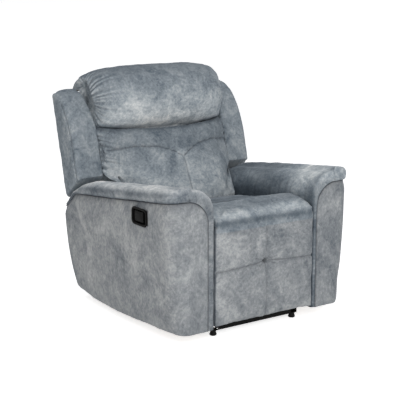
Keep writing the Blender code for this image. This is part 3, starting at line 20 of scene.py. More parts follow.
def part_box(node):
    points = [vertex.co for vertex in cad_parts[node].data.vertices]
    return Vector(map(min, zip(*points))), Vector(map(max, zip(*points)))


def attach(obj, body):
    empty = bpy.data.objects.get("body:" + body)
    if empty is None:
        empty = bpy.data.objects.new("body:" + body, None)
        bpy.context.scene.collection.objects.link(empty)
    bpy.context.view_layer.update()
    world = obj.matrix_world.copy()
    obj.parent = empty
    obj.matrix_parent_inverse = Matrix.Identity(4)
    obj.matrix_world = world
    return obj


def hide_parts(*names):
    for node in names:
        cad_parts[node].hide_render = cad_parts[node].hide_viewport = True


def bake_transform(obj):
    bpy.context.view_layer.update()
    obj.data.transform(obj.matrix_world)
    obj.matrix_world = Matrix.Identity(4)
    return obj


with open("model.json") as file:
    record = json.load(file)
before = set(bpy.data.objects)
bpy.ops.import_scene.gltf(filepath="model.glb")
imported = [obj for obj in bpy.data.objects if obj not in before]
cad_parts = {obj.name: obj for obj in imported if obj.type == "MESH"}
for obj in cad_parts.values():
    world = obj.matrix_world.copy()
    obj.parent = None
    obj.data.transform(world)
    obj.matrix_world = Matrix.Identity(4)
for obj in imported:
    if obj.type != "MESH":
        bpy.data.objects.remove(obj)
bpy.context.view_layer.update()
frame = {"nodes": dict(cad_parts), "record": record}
LOG = logging.getLogger("recliner")
CLOTH_STEPS = 20
SEAM_STEP = 0.004
# Width of the painted shade in a seam's groove.
SEAM_SHADE_WIDTH = 0.0026
# Per-channel bases of the painted light's gain, so that painted shade turns bluer.
PAINTED_LIGHT_TINT = (2.12, 2.0, 1.89)
# Colour of the dark in seams, which is painted shade and crushed pile, and of the painted shade in creases, pleats and
# the tuft.
SEAM_AND_CREASE_SHADE_COLOUR = (0.018, 0.021, 0.028, 1)

Array = np.ndarray


class Side(Enum):
    """The two sides of the chair, with the sign of their X."""

    LEFT = -1
    RIGHT = 1

    @property
    def word(self) -> str:
        """The side's name as the nodes spell it."""
        return self.name.lower()


class Nap(Enum):
    """How the pile lies on a piece: the stretch of its mottling along X, Y and Z."""

    BRUSHED_DOWN = (1.0, 1.0, 0.8)
    BRUSHED_BACK = (1.0, 0.75, 1.0)
    CLOUDED = (1.0, 1.0, 1.0)


# Shapes


def smooth(value: Array, start: float, end: float) -> Array:
    """Easy step: 0 before start, 1 after end, 3p^2 - 2p^3 of the share p between them.

    Args:
        value: where to read the step.
        start: where it leaves 0.
        end: where it reaches 1.

    Returns:
        The step's height at each value.
    """
    part = np.clip((np.asarray(value, float) - start) / (end - start), 0.0, 1.0)
    return part * part * (3 - 2 * part)


def ripple(points: Array, wavelength: float, seed: int, stretch: tuple = (1, 1, 1), waves: int = 16) -> Array:
    """Soft uneven lumps: the mean of plane sine waves with seeded ways, lengths and phases.

    Args:
        points: places to read, with X, Y and Z last.
        wavelength: the usual distance between crests, in metres.
        seed: picks the waves.
        stretch: how much longer the lumps are along X, Y and Z.
        waves: how many waves are summed.

    Returns:
        A value of about -1 to 1 at each point.
    """
    dice = np.random.default_rng(seed)
    ways = dice.normal(size=(waves, 3))
    ways *= 2 * math.pi / wavelength / np.linalg.norm(ways, axis=1, keepdims=True)
    ways *= dice.uniform(0.6, 1.6, (waves, 1)) / np.array(stretch)
    return np.sin(points @ ways.T + dice.uniform(0, 2 * math.pi, waves)).sum(-1) / math.sqrt(waves)


def through(controls: Array, steps: int) -> Array:
    """Catmull-Rom curves through rows of control points.

    Args:
        controls: rows of points, as (rows, points, coordinates).
        steps: samples for each span.

    Returns:
        Rows of finer points, that pass through all the controls.
    """
    padded = np.concatenate([controls[:, :1], controls, controls[:, -1:]], axis=1)
    a, b, c, d = (padded[:, i : padded.shape[1] - 3 + i, None] for i in range(4))
    t = np.linspace(0, 1, steps, endpoint=False)[None, None, :, None]
    spans = 0.5 * (2 * b + (c - a) * t + (2 * a - 5 * b + 4 * c - d) * t**2 + (3 * b - a - 3 * c + d) * t**3)
    rows = controls.shape[0]
    return np.concatenate([spans.reshape(rows, -1, controls.shape[2]), controls[:, -1:]], axis=1)


def even(points: Array, count: int) -> Array:
    """A polyline's points spread evenly along its length.

    Args:
        points: the polyline.
        count: how many points to give back.

    Returns:
        The new points, with the same two ends.
    """
    far = np.concatenate([[0.0], np.cumsum(np.linalg.norm(np.diff(points, axis=0), axis=1))])
    place = np.linspace(0, far[-1], count)
    return np.stack([np.interp(place, far, points[:, k]) for k in range(points.shape[1])], -1)


def close_to(count: int, ends: float = 1.0) -> Array:
    """Places from -1 to 1 that crowd towards both ends, as the sine of an even sweep does.

    Args:
        count: how many places.
        ends: 1 for the full crowding, 0 for even places.

    Returns:
        The places in order.
    """
    flat = np.linspace(-1, 1, count)
    return (1 - ends) * flat + ends * np.sin(flat * math.pi / 2)


def bell(value: Array, middle: float, width: float) -> Array:
    """A bell over a value v: exp(-((v - middle) / width)^2)."""
    return np.exp(-(((value - middle) / width) ** 2))


def corners(count: int) -> Array:
    """Four quarter turns one after the other, for an oblong with round corners.

    Args:
        count: points of each quarter.

    Returns:
        For each point the two signs of its corner, and the cosine and the sine of its turn.
    """
    rows = []
    for number, (first, second) in enumerate(((1, 1), (-1, 1), (-1, -1), (1, -1))):
        angle = np.linspace(0, math.pi / 2, count) + number * math.pi / 2
        rows.append(np.column_stack([np.full(count, first), np.full(count, second), np.cos(angle), np.sin(angle)]))
    return np.concatenate(rows)


# Meshes


def show(name: str, data: bpy.types.ID) -> bpy.types.Object:
    """A new object that shows some data in the scene.

    Args:
        name: its name.
        data: its mesh, lamp or camera.

    Returns:
        The object.
    """
    made = bpy.data.objects.new(name, data)
    bpy.context.scene.collection.objects.link(made)
    return made


def loft(
    name: str, rings: Array, caps: tuple = (), centres: tuple | None = None, folded: bool = False
) -> bpy.types.Object:
    """A closed skin over rings of points: quads from ring to ring, and each end drawn in and shut.

    Args:
        name: the piece's name.
        rings: points as (rings, points round, 3).
        caps: sizes of the rings that draw each end in, from large to small.
        centres: the points to which the first and the last ring are drawn in, or their means.
        folded: whether a ring runs out and back, so that its ends are shut by quads from one half to the other.

    Returns:
        The new object, whose first vertices are the rings' points in order.
    """
    count, size = rings.shape[:2]
    blocks, order = [rings.reshape(-1, 3)], np.arange(count * size).reshape(count, size)
    layers = list(order)
    for end, place in ((0, 0), (1, -1)):
        ring = rings[place]
        centre = ring.mean(0) if centres is None else np.asarray(centres[end])
        for share in caps:
            start = sum(len(block) for block in blocks)
            blocks.append(centre + share * (ring - centre))
            layer = np.arange(start, start + size)
            layers = [layer, *layers] if end == 0 else [*layers, layer]
    index = np.array(layers)
    quads = np.stack([index[:-1], np.roll(index[:-1], -1, 1), np.roll(index[1:], -1, 1), index[1:]], -1)
    faces = quads.reshape(-1, 4).tolist()
    for ring in (index[0, ::-1], index[-1]):
        back = ring[::-1]
        pairs = np.stack([ring[:-1], ring[1:], back[1:], back[:-1]], -1)[: size // 2 - 1]
        faces += pairs.tolist() if folded else [ring.tolist()]
    mesh = bpy.data.meshes.new(name)
    mesh.from_pydata(np.concatenate(blocks).tolist(), [], faces)
    turn_out(mesh)
    return show(name, mesh)


def turn_out(mesh: bpy.types.Mesh) -> None:
    """Point every face outwards and shade the mesh smooth.

    Args:
        mesh: the mesh.
    """
    shell = bmesh.new()
    shell.from_mesh(mesh)
    bmesh.ops.recalc_face_normals(shell, faces=shell.faces)
    shell.to_mesh(mesh)
    shell.free()
    mesh.shade_smooth()


def points_of(mesh: bpy.types.Mesh) -> Array:
    """All of a mesh's points, as an array.

    Args:
        mesh: the mesh.

    Returns:
        The points, one to a row.
    """
    flat = np.empty(3 * len(mesh.vertices))
    mesh.vertices.foreach_get("co", flat)
    return flat.reshape(-1, 3)


def normals_of(mesh: bpy.types.Mesh) -> Array:
    """The normals at a mesh's points, as an array.

    Args:
        mesh: the mesh.

    Returns:
        The normals, one to a row.
    """
    flat = np.empty(3 * len(mesh.vertices))
    mesh.vertex_normals.foreach_get("vector", flat)
    return flat.reshape(-1, 3)


def put_points(mesh: bpy.types.Mesh, points: Array) -> None:
    """Write a mesh's points back."""
    mesh.vertices.foreach_set("co", np.ascontiguousarray(points, float).ravel())
    mesh.update()


def mark(mesh: bpy.types.Mesh, name: str, values: Array) -> None:
    """Write one value for each of a mesh's points, which the finishes read by name.

    Args:
        mesh: the mesh.
        name: the values' name.
        values: one number for each point, of which the larger stays where some are there already.
    """
    layer = mesh.attributes.get(name)
    if layer is None:
        layer = mesh.attributes.new(name, "FLOAT", "POINT")
    else:
        before = np.empty(len(mesh.vertices))
        layer.data.foreach_get("value", before)
        values = np.maximum(before, values)
    layer.data.foreach_set("value", np.ascontiguousarray(values, np.float32))


def skin_of(piece: bpy.types.Object) -> BVHTree:
    """A piece's faces, to look for the nearest place on them or along a ray."""
    mesh = piece.data
    return BVHTree.FromPolygons(points_of(mesh).tolist(), [list(face.vertices) for face in mesh.polygons])


def keep(piece: bpy.types.Object, modifier: bpy.types.Modifier) -> None:
    """Make a modifier's result the piece's own mesh, and take the modifier off.

    Args:
        piece: the piece to change.
        modifier: the modifier, the only one on it.
    """
    made = bpy.data.meshes.new_from_object(piece.evaluated_get(bpy.context.evaluated_depsgraph_get()))
    piece.modifiers.remove(modifier)
    old, piece.data = piece.data, made
    made.name = old.name
    bpy.data.meshes.remove(old)
    made.shade_smooth()


# Upholstery


@dataclass(frozen=True)
class Stuffing:
    """How a cushion swells: the pressure in it, the cloth's spare length, and how far a point may move."""

    pressure: float = 4.0
    spare: float = 0.02
    reach: float = 0.012


@dataclass(frozen=True)
class Seam:
    """A sewn line on a piece: where it runs, how deep and wide it pulls the cloth in, and how dark its groove is
    painted, as shade and crushed pile.
    """

    line: Array
    depth: float = 0.006
    width: float = 0.006
    ink: float = 0.7


def swell(piece: bpy.types.Object, held: Array, stuffing: Stuffing) -> None:
    """Blow a closed skin up with a short cloth run, with its held points fixed, and keep the result.

    Args:
        piece: the skin.
        held: whether each point is glued or sewn down.
        stuffing: the pressure, the spare cloth and the reach.
    """
    scene = bpy.context.scene
    rest = points_of(piece.data)
    group = piece.vertex_groups.new(name="held")
    group.add(np.flatnonzero(held).tolist(), 1.0, "REPLACE")
    cloth = piece.modifiers.new("swell", "CLOTH")
    cloth.settings.quality = 4
    cloth.settings.mass = 0.25
    cloth.settings.tension_stiffness = 12
    cloth.settings.compression_stiffness = 12
    cloth.settings.shear_stiffness = 4
    cloth.settings.bending_stiffness = 0.3
    cloth.settings.shrink_min = -stuffing.spare
    cloth.settings.use_pressure = True
    cloth.settings.uniform_pressure_force = stuffing.pressure
    cloth.settings.vertex_group_mass = group.name
    cloth.settings.effector_weights.gravity = 0
    cloth.collision_settings.use_collision = False
    for step in range(CLOTH_STEPS):
        scene.frame_set(step + 1)
    blown = piece.evaluated_get(bpy.context.evaluated_depsgraph_get()).to_mesh()
    shift = points_of(blown) - rest
    piece.modifiers.remove(cloth)
    piece.vertex_groups.remove(group)
    scene.frame_set(1)
    far = np.linalg.norm(shift, axis=1, keepdims=True)
    limit = stuffing.reach * np.tanh(far / stuffing.reach) / np.maximum(far, 1e-9)
    put_points(piece.data, rest + shift * limit)


def refine(piece: bpy.types.Object) -> None:
    """Divide every face once, with the smooth rule, and keep the finer mesh.

    Args:
        piece: the piece to refine.
    """
    finer = piece.modifiers.new("finer", "SUBSURF")
    finer.levels = finer.render_levels = 1
    keep(piece, finer)


def sew(piece: bpy.types.Object, seams: list) -> None:
    """Pull the cloth in along seams: -depth exp(-(d/w)^2), with a low swelling a few widths to either side.

    Args:
        piece: the padded piece.
        seams: its seams, whose lines need to be near the surface only.
    """
    mesh = piece.data
    points, normals, skin = points_of(mesh), normals_of(mesh), skin_of(piece)
    push, dark = np.zeros(len(points)), np.zeros(len(points))
    for seam in seams:
        length = np.linalg.norm(np.diff(seam.line, axis=0), axis=1).sum()
        raw = even(np.asarray(seam.line, float), max(8, int(length / SEAM_STEP)))
        line = np.array([skin.find_nearest(Vector(place))[0] for place in raw])
        low, high = line.min(0) - 8 * seam.width, line.max(0) + 8 * seam.width
        near = np.flatnonzero(((points > low) & (points < high)).all(1))
        gaps = [
            np.sqrt(((points[part, None] - line[None]) ** 2).sum(-1).min(1))
            for part in np.array_split(near, max(1, len(near) // 2000))
        ]
        gap = np.concatenate(gaps) / seam.width
        push[near] += seam.depth * (0.22 * bell(gap, 2.6, 1.3) - bell(gap, 0.0, 1.0))
        # The seam's groove is painted dark: painted shade in it, and crushed pile.
        dark[near] = np.maximum(dark[near], seam.ink * bell(gap * seam.width, 0.0, SEAM_SHADE_WIDTH))
    put_points(mesh, points + normals * push[:, None])
    mark(mesh, "seam_and_crease_shade", dark)


def crumple(piece: bpy.types.Object, height: float, wavelength: float, seed: int, stretch: tuple = (1, 1, 1)) -> None:
    """Give a piece the low uneven lumps of foam under cloth.

    Args:
        piece: the piece to change.
        height: the lumps' height.
        wavelength: the distance between them.
        seed: picks the lumps.
        stretch: how much longer they are along X, Y and Z.
    """
    mesh = piece.data
    points = points_of(mesh)
    lumps = 0.65 * ripple(points, wavelength, seed, stretch)
    lumps += 0.35 * ripple(points, wavelength / 2.7, seed + 1, stretch)
    put_points(mesh, points + normals_of(mesh) * (height * lumps)[:, None])


def gathers(
    piece: bpy.types.Object, along: Array, inward: Array, pitch: float, reach: float, height: float, ink: float = 0.5
) -> None:
    """Pleats that run in from a seam: height * sin(2 pi a / pitch) * exp(-i / reach), uneven along the seam.

    Args:
        piece: the piece to pleat.
        along: each point's way along the seam, a.
        inward: each point's way in from the seam, i.
        pitch: the usual distance between pleats.
        reach: how far in they fade.
        height: their height at the seam.
        ink: how dark the valleys are painted, as shade in them.
    """
    mesh = piece.data
    turns = along / pitch
    wave = np.sin(2 * math.pi * (turns + 0.22 * np.sin(1.9 * turns) + 0.15 * np.sin(0.73 * turns + 1.0)))
    fade = np.exp(-np.clip(inward, 0.0, None) / (reach * (1 + 0.45 * np.sin(2.3 * turns))))
    put_points(mesh, points_of(mesh) + normals_of(mesh) * (height * wave * fade)[:, None])
    # Painted shade in the pleats' valleys.
    mark(mesh, "seam_and_crease_shade", ink * fade * np.clip(-wave, 0.0, 1.0) ** 2)


def brush(piece: bpy.types.Object, way: tuple, amount: float = 1.0, base: float | Array = 0.0) -> None:
    """Paint light and shade into the pile's colour: lighter where the surface faces one way, darker where it faces
    away, in stops.

    Args:
        piece: the piece to paint.
        way: the way whose faces are painted lighter.
        amount: how strong the change is.
        base: the painted lightness of the whole piece or of each point, with any random tone.
    """
    aim = np.array(way) / np.linalg.norm(way)
    mark(piece.data, "brush", base + amount * (normals_of(piece.data) @ aim))


def dress(piece: bpy.types.Object, body: str | None, finish: bpy.types.Material, nodes: tuple = ()) -> None:
    """Give a piece its finish, its body and the nodes it stands for.

    Args:
        piece: the finished piece.
        body: the body it moves with, or None for a piece that is left without one.
        finish: its material.
        nodes: the nodes that it replaces.
    """
    piece.data.materials.clear()
    piece.data.materials.append(finish)
    if body is not None:
        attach(piece, body)
    if nodes:
        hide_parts(*nodes)
    LOG.info("%s: %d faces", piece.name, len(piece.data.polygons))


# Finishes


def join(tree: bpy.types.NodeTree, sockets: object, values: dict) -> None:
    """Give sockets their values, or links from other sockets.

    Args:
        tree: the tree that they are in.
        sockets: a node's inputs.
        values: a value or a socket for each input, by its name or number.
    """
    for key, value in values.items():
        if isinstance(value, bpy.types.NodeSocket):
            tree.links.new(value, sockets[key])
        else:
            sockets[key].default_value = value


def node(tree: bpy.types.NodeTree, kind: str, values: dict, **settings: object) -> bpy.types.Node:
    """A new node.

    Args:
        tree: the tree that it goes into.
        kind: its type, without ShaderNode before it.
        values: a value or a socket for each input, by its name or number.
        settings: its own settings.

    Returns:
        The node.
    """
    made = tree.nodes.new(f"ShaderNode{kind}")
    for name, value in settings.items():
        setattr(made, name, value)
    join(tree, made.inputs, values)
    return made


def new_group(name: str, inputs: dict, outputs: dict) -> tuple:
    """An empty node group.

    Args:
        name: its name.
        inputs: each input's kind of socket and first value.
        outputs: each output's kind of socket.

    Returns:
        The group, the sockets that bring its inputs, and those that take its outputs.
    """
    group = bpy.data.node_groups.new(name, "ShaderNodeTree")
    for socket, (kind, value) in inputs.items():
        made = group.interface.new_socket(socket, in_out="INPUT", socket_type=f"NodeSocket{kind}")
        if value is not None:
            made.default_value = value
    for socket, kind in outputs.items():
        group.interface.new_socket(socket, in_out="OUTPUT", socket_type=f"NodeSocket{kind}")
    return group, group.nodes.new("NodeGroupInput").outputs, group.nodes.new("NodeGroupOutput").inputs


def mottle_group() -> bpy.types.NodeTree:
    """The velvet's clouded colour and pile: three scales of noise, mixed by share, a colour ramp and a gain of painted
    light.

    The gain is 2 to the power of the painted light, a little more for red and less for blue, so that painted shade
    looks bluer. The painted shade of seams and creases is mixed in last.

    Returns:
        A node group that takes a vector, three colours and two values, and gives a colour and a height.
    """
    inputs = {
        "Vector": ("Vector", None),
        "Dark": ("Color", (0.12, 0.14, 0.17, 1)),
        "Middle": ("Color", (0.24, 0.27, 0.30, 1)),
        "Light": ("Color", (0.36, 0.40, 0.43, 1)),
        "Brush": ("Float", 0.0),
        "Seam_And_Crease_Shade": ("Float", 0.0),
    }
    group, source, sink = new_group("mottled_pile", inputs, {"Color": "Color", "Height": "Float"})

    def noise(scale: float, detail: float, rough: float, bend: float) -> bpy.types.NodeSocket:
        """One layer of noise on the group's vector."""
        values = {"Scale": scale, "Detail": detail, "Roughness": rough, "Distortion": bend}
        return node(group, "TexNoise", {"Vector": source["Vector"], **values}).outputs["Fac"]

    def reckon(kind: str, first: object, second: object) -> bpy.types.NodeSocket:
        """A sum, a product or a power of two values or sockets."""
        return node(group, "Math", {0: first, 1: second}, operation=kind).outputs[0]

    def total(layers: tuple) -> bpy.types.NodeSocket:
        """The sum of three layers, each times its share."""
        first, second, third = (reckon("MULTIPLY", layer, share) for layer, share in layers)
        return reckon("ADD", reckon("ADD", first, second), third)

    def span(value: bpy.types.NodeSocket, start: float, end: float) -> bpy.types.NodeSocket:
        """The share of the way from start to end, held between 0 and 1."""
        return node(group, "MapRange", {"Value": value, "From Min": start, "From Max": end}).outputs["Result"]

    def mix(share: object, first: object, second: object, way: str = "MIX") -> bpy.types.NodeSocket:
        """Two colours mixed by a share."""
        values = {"Factor": share, 6: first, 7: second}
        return node(group, "Mix", values, data_type="RGBA", blend_type=way).outputs[2]

    clouds, blotches = noise(5.5, 7.0, 0.68, 0.8), noise(20.0, 6.0, 0.74, 1.6)
    specks, pile = noise(95.0, 4.0, 0.7, 0.0), noise(700.0, 2.0, 0.5, 0.0)
    share = span(total(((clouds, 0.46), (blotches, 0.30), (specks, 0.24))), 0.39, 0.63)
    lower = mix(span(share, 0.0, 0.5), source["Dark"], source["Middle"])
    cloth = mix(span(share, 0.5, 1.0), lower, source["Light"])
    # Painted light and shade: the cloth's colour times the gain, then the painted shade of seams and creases mixed over
    # it.
    gains = [reckon("POWER", base, source["Brush"]) for base in PAINTED_LIGHT_TINT]
    gain = node(group, "CombineColor", dict(enumerate(gains))).outputs["Color"]
    brushed = mix(1.0, cloth, gain, "MULTIPLY")
    colour = mix(source["Seam_And_Crease_Shade"], brushed, SEAM_AND_CREASE_SHADE_COLOUR)
    join(group, sink, {"Color": colour, "Height": total(((pile, 0.5), (specks, 0.9), (blotches, 0.8)))})
    return group


def surface(name: str) -> tuple:
    """A new material with a Principled shader.

    Args:
        name: the material's name.

    Returns:
        The material, its node tree and its shader's inputs.
    """
    made = bpy.data.materials.new(name)
    made.use_nodes = True
    return made, made.node_tree, made.node_tree.nodes["Principled BSDF"].inputs


@dataclass(frozen=True)
class Velvet:
    """Blue-grey velvet with clouded pile that lies one way, painted light and shade, and a soft sheen."""

    dark: tuple = (0.090, 0.115, 0.142, 1)
    middle: tuple = (0.224, 0.256, 0.283, 1)
    light: tuple = (0.404, 0.430, 0.446, 1)
    roughness: float = 0.85
    specular: float = 0.25
    sheen: float = 0.15
    sheen_roughness: float = 0.35
    sheen_tint: tuple = (0.78, 0.86, 0.95, 1)
    bump: float = 0.35
    pile: float = 0.0016

    def material(self, name: str, mottle: bpy.types.NodeTree, nap: Nap, shift: float = 0.0) -> bpy.types.Material:
        """The velvet with the pile lying one way.

        Args:
            name: the material's name.
            mottle: the shared pile group.
            nap: the way the pile lies.
            shift: moves the clouds, so that pieces differ.

        Returns:
            The material.
        """
        made, tree, shader = surface(name)
        place = node(tree, "TexCoord", {}).outputs["Object"]
        moved = {"Vector": place, "Location": (shift, 0.37 * shift, 0.61 * shift), "Scale": nap.value}
        inputs = {"Dark": self.dark, "Middle": self.middle, "Light": self.light}
        inputs["Vector"] = node(tree, "Mapping", moved).outputs["Vector"]
        # Painted light with random tone, and the painted shade of seams and creases, are read from the points'
        # attributes.
        for layer in ("brush", "seam_and_crease_shade"):
            inputs[layer.title()] = node(tree, "Attribute", {}, attribute_name=layer).outputs["Fac"]
        pile = node(tree, "Group", {}, node_tree=mottle)
        join(tree, pile.inputs, inputs)
        relief = {"Strength": self.bump, "Distance": self.pile, "Height": pile.outputs["Height"]}
        look = {
            "Base Color": pile.outputs["Color"],
            "Normal": node(tree, "Bump", relief).outputs["Normal"],
            "Roughness": self.roughness,
            "Specular IOR Level": self.specular,
            "Sheen Weight": self.sheen,
            "Sheen Roughness": self.sheen_roughness,
            "Sheen Tint": self.sheen_tint,
        }
        join(tree, shader, look)
        return made


def speckle_group() -> bpy.types.NodeTree:
    """Fine uneven colour and height for hard finishes: noise that mixes two colours and lifts the surface.

    Returns:
        A node group that takes a vector, a scale and two colours, and gives a colour, a roughness and a height.
    """
    inputs = {
        "Vector": ("Vector", None),
        "Scale": ("Float", 200.0),
        "First": ("Color", (0.02, 0.02, 0.02, 1)),
        "Second": ("Color", (0.03, 0.03, 0.03, 1)),
        "Low": ("Float", 0.4),
        "High": ("Float", 0.6),
    }
    group, source, sink = new_group("fine_speckle", inputs, {"Color": "Color", "Roughness": "Float", "Height": "Float"})
    values = {"Vector": source["Vector"], "Scale": source["Scale"], "Detail": 5.0, "Roughness": 0.6}
    grain = node(group, "TexNoise", values).outputs["Fac"]
    colour = node(group, "Mix", {"Factor": grain, 6: source["First"], 7: source["Second"]}, data_type="RGBA")
    rough = node(group, "MapRange", {"Value": grain, "To Min": source["Low"], "To Max": source["High"]})
    join(group, sink, {"Color": colour.outputs[2], "Roughness": rough.outputs["Result"], "Height": grain})
    return group


@dataclass(frozen=True)
class HardFinish:
    """A hard surface: two near colours, a range of roughness, the grain's scale and stretch, and its bump."""

    first: tuple
    second: tuple
    low: float
    high: float
    scale: float
    stretch: tuple = (1.0, 1.0, 1.0)
    specular: float = 0.3
    bump: float = 0.1

    def material(self, name: str, speckle: bpy.types.NodeTree) -> bpy.types.Material:
        """The finish as a material.

        Args:
            name: the material's name.
            speckle: the shared speckle group.

        Returns:
            The material.
        """
        made, tree, shader = surface(name)
        place = node(tree, "TexCoord", {}).outputs["Object"]
        inputs = {"Scale": self.scale, "First": self.first, "Second": self.second, "Low": self.low, "High": self.high}
        inputs["Vector"] = node(tree, "Mapping", {"Vector": place, "Scale": self.stretch}).outputs["Vector"]
        grain = node(tree, "Group", {}, node_tree=speckle)
        join(tree, grain.inputs, inputs)
        relief = {"Strength": self.bump, "Distance": 0.0006, "Height": grain.outputs["Height"]}
        look = {
            "Base Color": grain.outputs["Color"],
            "Roughness": grain.outputs["Roughness"],
            "Normal": node(tree, "Bump", relief).outputs["Normal"],
            "Specular IOR Level": self.specular,
        }
        join(tree, shader, look)
        return made


class Wardrobe:
    """Every finish of the chair, made once."""

    def __init__(self) -> None:
        """Build the shared groups and the materials."""
        mottle, speckle = mottle_group(), speckle_group()
        blue = Velvet()
        grey = Velvet((0.112, 0.128, 0.146, 1), (0.244, 0.259, 0.272, 1), (0.420, 0.432, 0.438, 1))
        between = Velvet((0.101, 0.1215, 0.144, 1), (0.234, 0.2575, 0.2775, 1), (0.412, 0.431, 0.442, 1))
        self.side = grey.material("velvet_brushed_down", mottle, Nap.BRUSHED_DOWN, 5.1)
        self.top = {
            Side.LEFT: between.material("velvet_brushed_back_grey", mottle, Nap.BRUSHED_BACK, 3.1),
            Side.RIGHT: blue.material("velvet_brushed_back", mottle, Nap.BRUSHED_BACK, 3.1),
        }
        self.cloud = blue.material("velvet_clouded", mottle, Nap.CLOUDED, 7.4)
        self.wing = blue.material("velvet_wing", mottle, Nap.BRUSHED_DOWN, 3.3)
        self.front = grey.material("velvet_front", mottle, Nap.CLOUDED, 7.4)
        hard = {
            "black_steel": HardFinish(
                (0.002, 0.002, 0.002, 1), (0.005, 0.005, 0.005, 1), low=0.5, high=0.7, scale=420.0, specular=0.08
            ),
            "plywood": HardFinish(
                (0.42, 0.29, 0.17, 1),
                (0.60, 0.45, 0.29, 1),
                low=0.55,
                high=0.8,
                scale=22.0,
                stretch=(6.0, 0.5, 6.0),
                bump=0.3,
            ),
            "black_plastic": HardFinish(
                (0.003, 0.003, 0.003, 1), (0.006, 0.006, 0.006, 1), low=0.45, high=0.6, scale=300.0, specular=0.06
            ),
            "glide_plastic": HardFinish(
                (0.004, 0.004, 0.004, 1), (0.010, 0.010, 0.010, 1), low=0.5, high=0.7, scale=500.0, specular=0.1
            ),
            "cable_jacket": HardFinish(
                (0.012, 0.012, 0.012, 1), (0.022, 0.022, 0.022, 1), low=0.45, high=0.6, scale=600.0
            ),
        }
        self.hard = {slot: finish.material(slot, speckle) for slot, finish in hard.items()}

    def dress_solids(self) -> None:
        """Give every rigid solid the finish of its slot."""
        for entry in frame["record"]["subparts"]:
            finish = self.hard.get(entry["material_slot"])
            if finish is None:
                continue
            solid = frame["nodes"][entry["node"]]
            if not solid.material_slots:
                solid.data.materials.append(finish)
            for slot in solid.material_slots:
                slot.material = finish


# The arms


@dataclass(frozen=True)
class ArmLook:
    """What differs between the arms: the seed of the lumps, the strip's width, and the painted light and shade of the
    pile.

    Painted lightness, for light and shade, is in stops: of the cover's front and of the whole cover, of the pad's faces
    that look one way and of the whole pad, of the front of its inner face, of its strip, and of its top in front and
    what that loses behind.
    """

    seed: int
    strip: float
    cover_light: tuple
    pad_light: tuple
    inner_light: float
    strip_shade: float
    top_gain: float = 0.0
    top_loss: float = 0.0


LOOKS = {
    Side.LEFT: ArmLook(
        seed=11,
        strip=0.0325,
        cover_light=(-0.42, 0.38),
        pad_light=((0.0, -0.2, 1.0), 1.15, -0.06),
        inner_light=0.4,
        strip_shade=0.10,
    ),
    Side.RIGHT: ArmLook(
        seed=23,
        strip=0.016,
        cover_light=(0.05, 0.00),
        pad_light=((0.75, -0.45, 0.5), 0.95, 0.06),
        inner_light=0.85,
        strip_shade=0.45,
        top_gain=0.50,
        top_loss=1.95,
    ),
}


